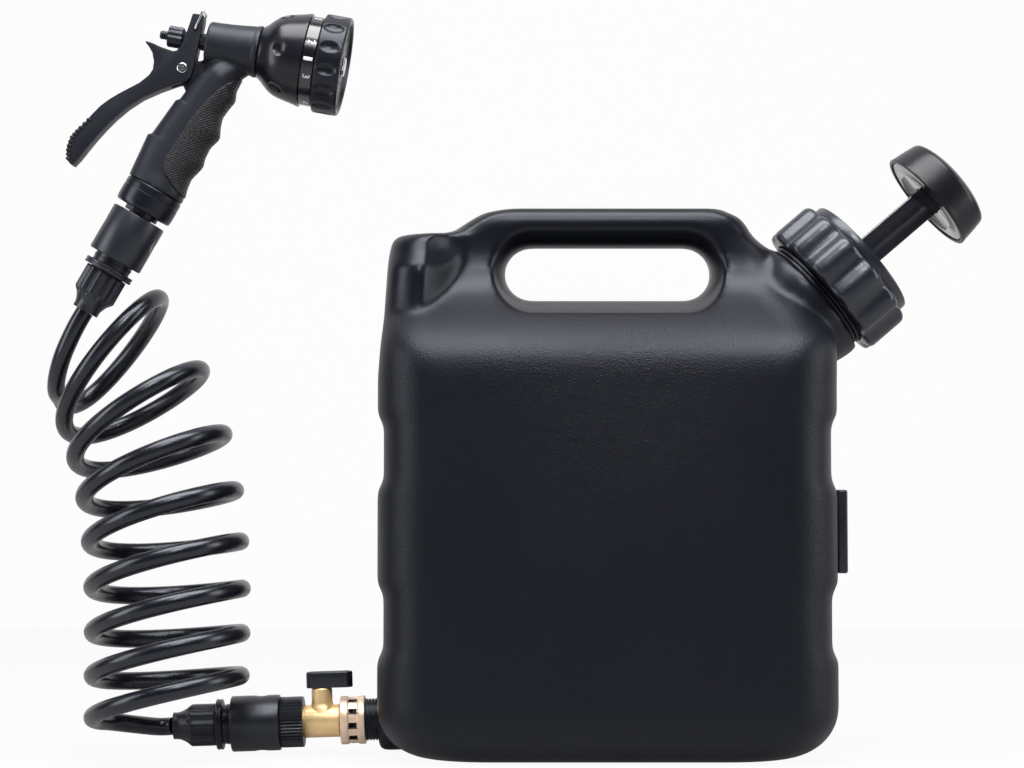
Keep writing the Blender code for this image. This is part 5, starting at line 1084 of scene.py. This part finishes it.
for low, high in (
    (slot_low, slot_high),
    ((-0.0048, -0.0033, -0.0160), (0.0048, 0.0033, -0.0018)),
):
    block = brick(low, high)
    bpy.ops.object.mode_set(mode="OBJECT")
    cut(trigger, block)
studs = []
stud_radius = 0.0011
stud_rows = ((-0.0068, 0.0016), (-0.0046, 0), (-0.0015, 0), (0.0015, 0), (0.0046, 0), (0.0068, 0.0016))
studs_along = [(0, -0.0660), (0.25, -0.0712), (0.5, -0.0745), (0.75, -0.0756), (1, -0.0745)]
studs_above = [(0, -0.0634), (0.25, -0.0708), (0.5, -0.0765), (0.75, -0.0838), (1, -0.0905)]
for i in range(11):
    for side, inward in stud_rows:
        along = read(i / 10, studs_along) + inward
        above = read(i / 10, studs_above)
        studs.append(ball(10, 6, (above, side, along), [stud_radius] * 3))
only(studs[0], *studs[1:])
bpy.ops.object.join()
bpy.ops.object.transform_apply(location=True, rotation=True, scale=True)
settle(trigger, head_place)
settle(studs[0], head_place)
clip_along, clip_above = -0.008, 0.0065
clip_place = frame_at(head_place @ Vector((clip_above, 0, clip_along)), (0, 1, 0), (0, 0, 1))
bore(trigger, 2.15, -20, 20, pin_place, 32)
bore(trigger, 1.05, -20, 20, clip_place, 24)
only(trigger, studs[0])
bpy.ops.object.join()
finish(trigger, skin_coat, "trigger_squeeze_lever", "trigger", "soft_rubber", "trigger_lever", angle=32)
pin = turned(mm([
    (0, -7.9), (1.2, -7.9), (1.3, -7.5), (2.1, -7.5), (2.2, -7.9), (2.9, -7.9), (3.2, -7.7),
    (3.2, -7.3), (2, -7.3), (2, 7.3), (3.2, 7.3), (3.2, 7.7), (2.9, 7.9), (2.2, 7.9), (2.1, 7.5),
    (1.3, 7.5), (1.2, 7.9), (0, 7.9),
]), pin_place, 48)
finish(pin, steel_coat, "trigger_rivet", "tank", "steel", "lever_pin", angle=30)

# Hold clip
# A bail of bright wire bent square, its two ends sprung into the lever's sides.
wire, round_off, clip_height, clip_lean, clip_out = 0.00085, 0.0012, 0.0125, 0.22, 0.00855
turns = [math.radians(15 * i) for i in range(7)]
bend = [(0, -0.0046), (0, -0.0073)]
bend += [
    (round_off * (1 - math.cos(turn)), round_off * (1 - math.sin(turn)) - clip_out)
    for turn in turns[1:]
]
bend += [
    (clip_height - round_off * (1 - math.sin(turn)), round_off * (1 - math.cos(turn)) - clip_out)
    for turn in turns
]
bend += [(rise, -side) for rise, side in bend[::-1]]
bend = [Vector((clip_above + rise, side, clip_along + clip_lean * rise)) for rise, side in bend]
drawn(bend)
bpy.ops.object.mode_set(mode="OBJECT")
bpy.ops.object.convert(target="CURVE")
clip = bpy.context.object
clip.data.bevel_depth = wire
clip.data.bevel_resolution = 4
clip.data.use_fill_caps = True
bpy.ops.object.convert(target="MESH")
clip = bpy.context.object
settle(clip, head_place)
finish(clip, steel_coat, "wire_hold_clip", "clip", "steel", "hold_clip", angle=60)

# Valve rod, packing nut and adjusting knob
# The rod that the lever pulls: threaded at its back for a ribbed knob, sealed where it enters the
# barrel by a small hexagon nut.
valve_rod = turned(mm([
    (0, -31), (2, -31), (2.4, -30.6), (2.8, -30), (2.8, -29.4), (2.4, -29), (2.8, -28.6), (2.8, -28),
    (2.4, -27.6), (2.8, -27.2), (2.8, -26.6), (2.4, -26.2), (2.4, -25.6), (2.8, -25), (2.8, -8),
    (2.5, -7.6), (2.8, -7.2), (2.8, 24.1), (0, 24.1),
]), head_place, 40)
finish(valve_rod, plastic_coat, "valve_pull_rod", "gun_valve", "steel", "valve_rod", angle=30)
packing = turned(mm([
    (3.1, -3.8), (5.2, -3.8), (5.6, -3.5), (5.6, -0.6), (5.3, -0.3), (4.2, -0.3), (4.2, 4), (3.1, 4),
]), head_place, 6)
finish(packing, plastic_coat, "packing_hexagon_nut", "tank", "black_plastic", "packing_nut", angle=20)
adjuster = turned(mm([
    (3.1, -25.6), (6.2, -25.6), (6.8, -25.3), (7, -24.7), (7, -22), (7, -19), (7, -16.8), (6.8, -16.2),
    (6.2, -15.8), (5, -15), (4.4, -13.8), (4.4, -12.2), (3.1, -12.2),
]))
flute(adjuster, head_place, 12, 96, depth=0.12, low=-0.0260, high=-0.0157, inside=0.0058, sharp=2)
finish(adjuster, plastic_coat, "flow_adjusting_knob", "adjuster",
       "black_plastic", "adjusting_knob", angle=30)

# Studio
# A pale floor that runs up into a white backdrop, one large soft lamp above the front, a small one
# before it, two weaker at the sides. Floor and backdrop show white to the camera and keep the shadow.
# The backdrop is clear from behind, so that the object is seen from all sides against a white sky.
def stage(name, colour, whiteness, mirrored):
    """Makes the new plane a piece of the studio; mirrored is how white it is in reflections."""
    piece = bpy.context.object
    piece.name = name
    coat = Coat(name, colour, 0.9, Specular_IOR_Level=0.0)
    rays = ("Is Camera Ray", "Is Glossy Ray", "Is Transmission Ray")
    in_picture, in_shine, through = [coat.node("LightPath", out=ray) for ray in rays]
    seen = coat.node("Math", {"operation": "MAXIMUM"}, in_picture, in_shine * mirrored)
    seen = coat.node("Math", {"operation": "MAXIMUM"}, seen, through) * whiteness
    glow = coat.node("Emission", Strength=1.0)
    front = coat.node("MixShader", None, seen, Value(coat, coat.shader.outputs[0]), glow)
    behind = coat.node("NewGeometry", out="Backfacing")
    whole = coat.node("MixShader", None, behind, front, coat.node("BsdfTransparent"))
    coat.tree.links.new(whole.socket, coat.tree.nodes["Material Output"].inputs["Surface"])
    coat.on(piece)


bpy.ops.object.select_all(action="DESELECT")
bpy.ops.mesh.primitive_plane_add(size=8, location=(0, 1.2, -0.0005))
stage("floor", (0.45, 0.45, 0.45), 0.94, 0.25)
bpy.ops.object.select_all(action="DESELECT")
bpy.ops.mesh.primitive_plane_add(size=8, location=(0, 1.6, 2.0), rotation=(math.radians(90), 0, 0))
stage("backdrop", (0.6, 0.6, 0.6), 0.96, 1.0)


def lamp(name, place, target, size, power):
    """A rectangular lamp aimed at a spot."""
    bpy.ops.object.light_add(type="AREA", location=place)
    light = bpy.context.object
    light.name = name
    light.data.shape = "RECTANGLE"
    light.data.size, light.data.size_y = size
    light.data.energy = power
    light.rotation_euler = (Vector(target) - Vector(place)).to_track_quat("-Z", "Y").to_euler()


lamp("soft_lamp_above", (-0.05, -0.35, 1.35), (-0.02, 0, 0.25), (1.3, 0.7), 30)
lamp("small_lamp_front", (-0.02, -1.0, 1.15), (0, -0.08, 0.25), (0.35, 0.25), 7)
lamp("soft_lamp_left", (-1.3, -0.55, 0.55), (0, 0, 0.2), (0.5, 1.0), 9)
lamp("soft_lamp_right", (1.3, -0.35, 0.55), (0, 0, 0.2), (0.5, 1.0), 8)
world = bpy.data.worlds.new("studio")
bpy.context.scene.world = world
world.use_nodes = True
nodes, links = world.node_tree.nodes, world.node_tree.links
dusk = nodes["Background"]
dusk.inputs["Color"].default_value = (0.46, 0.50, 0.60, 1)
dusk.inputs["Strength"].default_value = 0.07
sky = nodes.new("ShaderNodeBackground")
sky.inputs["Color"].default_value = (0.98, 0.98, 0.98, 1)
seen_sky = nodes.new("ShaderNodeMixShader")
links.new(nodes.new("ShaderNodeLightPath").outputs["Is Camera Ray"], seen_sky.inputs[0])
links.new(dusk.outputs[0], seen_sky.inputs[1])
links.new(sky.outputs[0], seen_sky.inputs[2])
links.new(seen_sky.outputs[0], nodes["World Output"].inputs["Surface"])
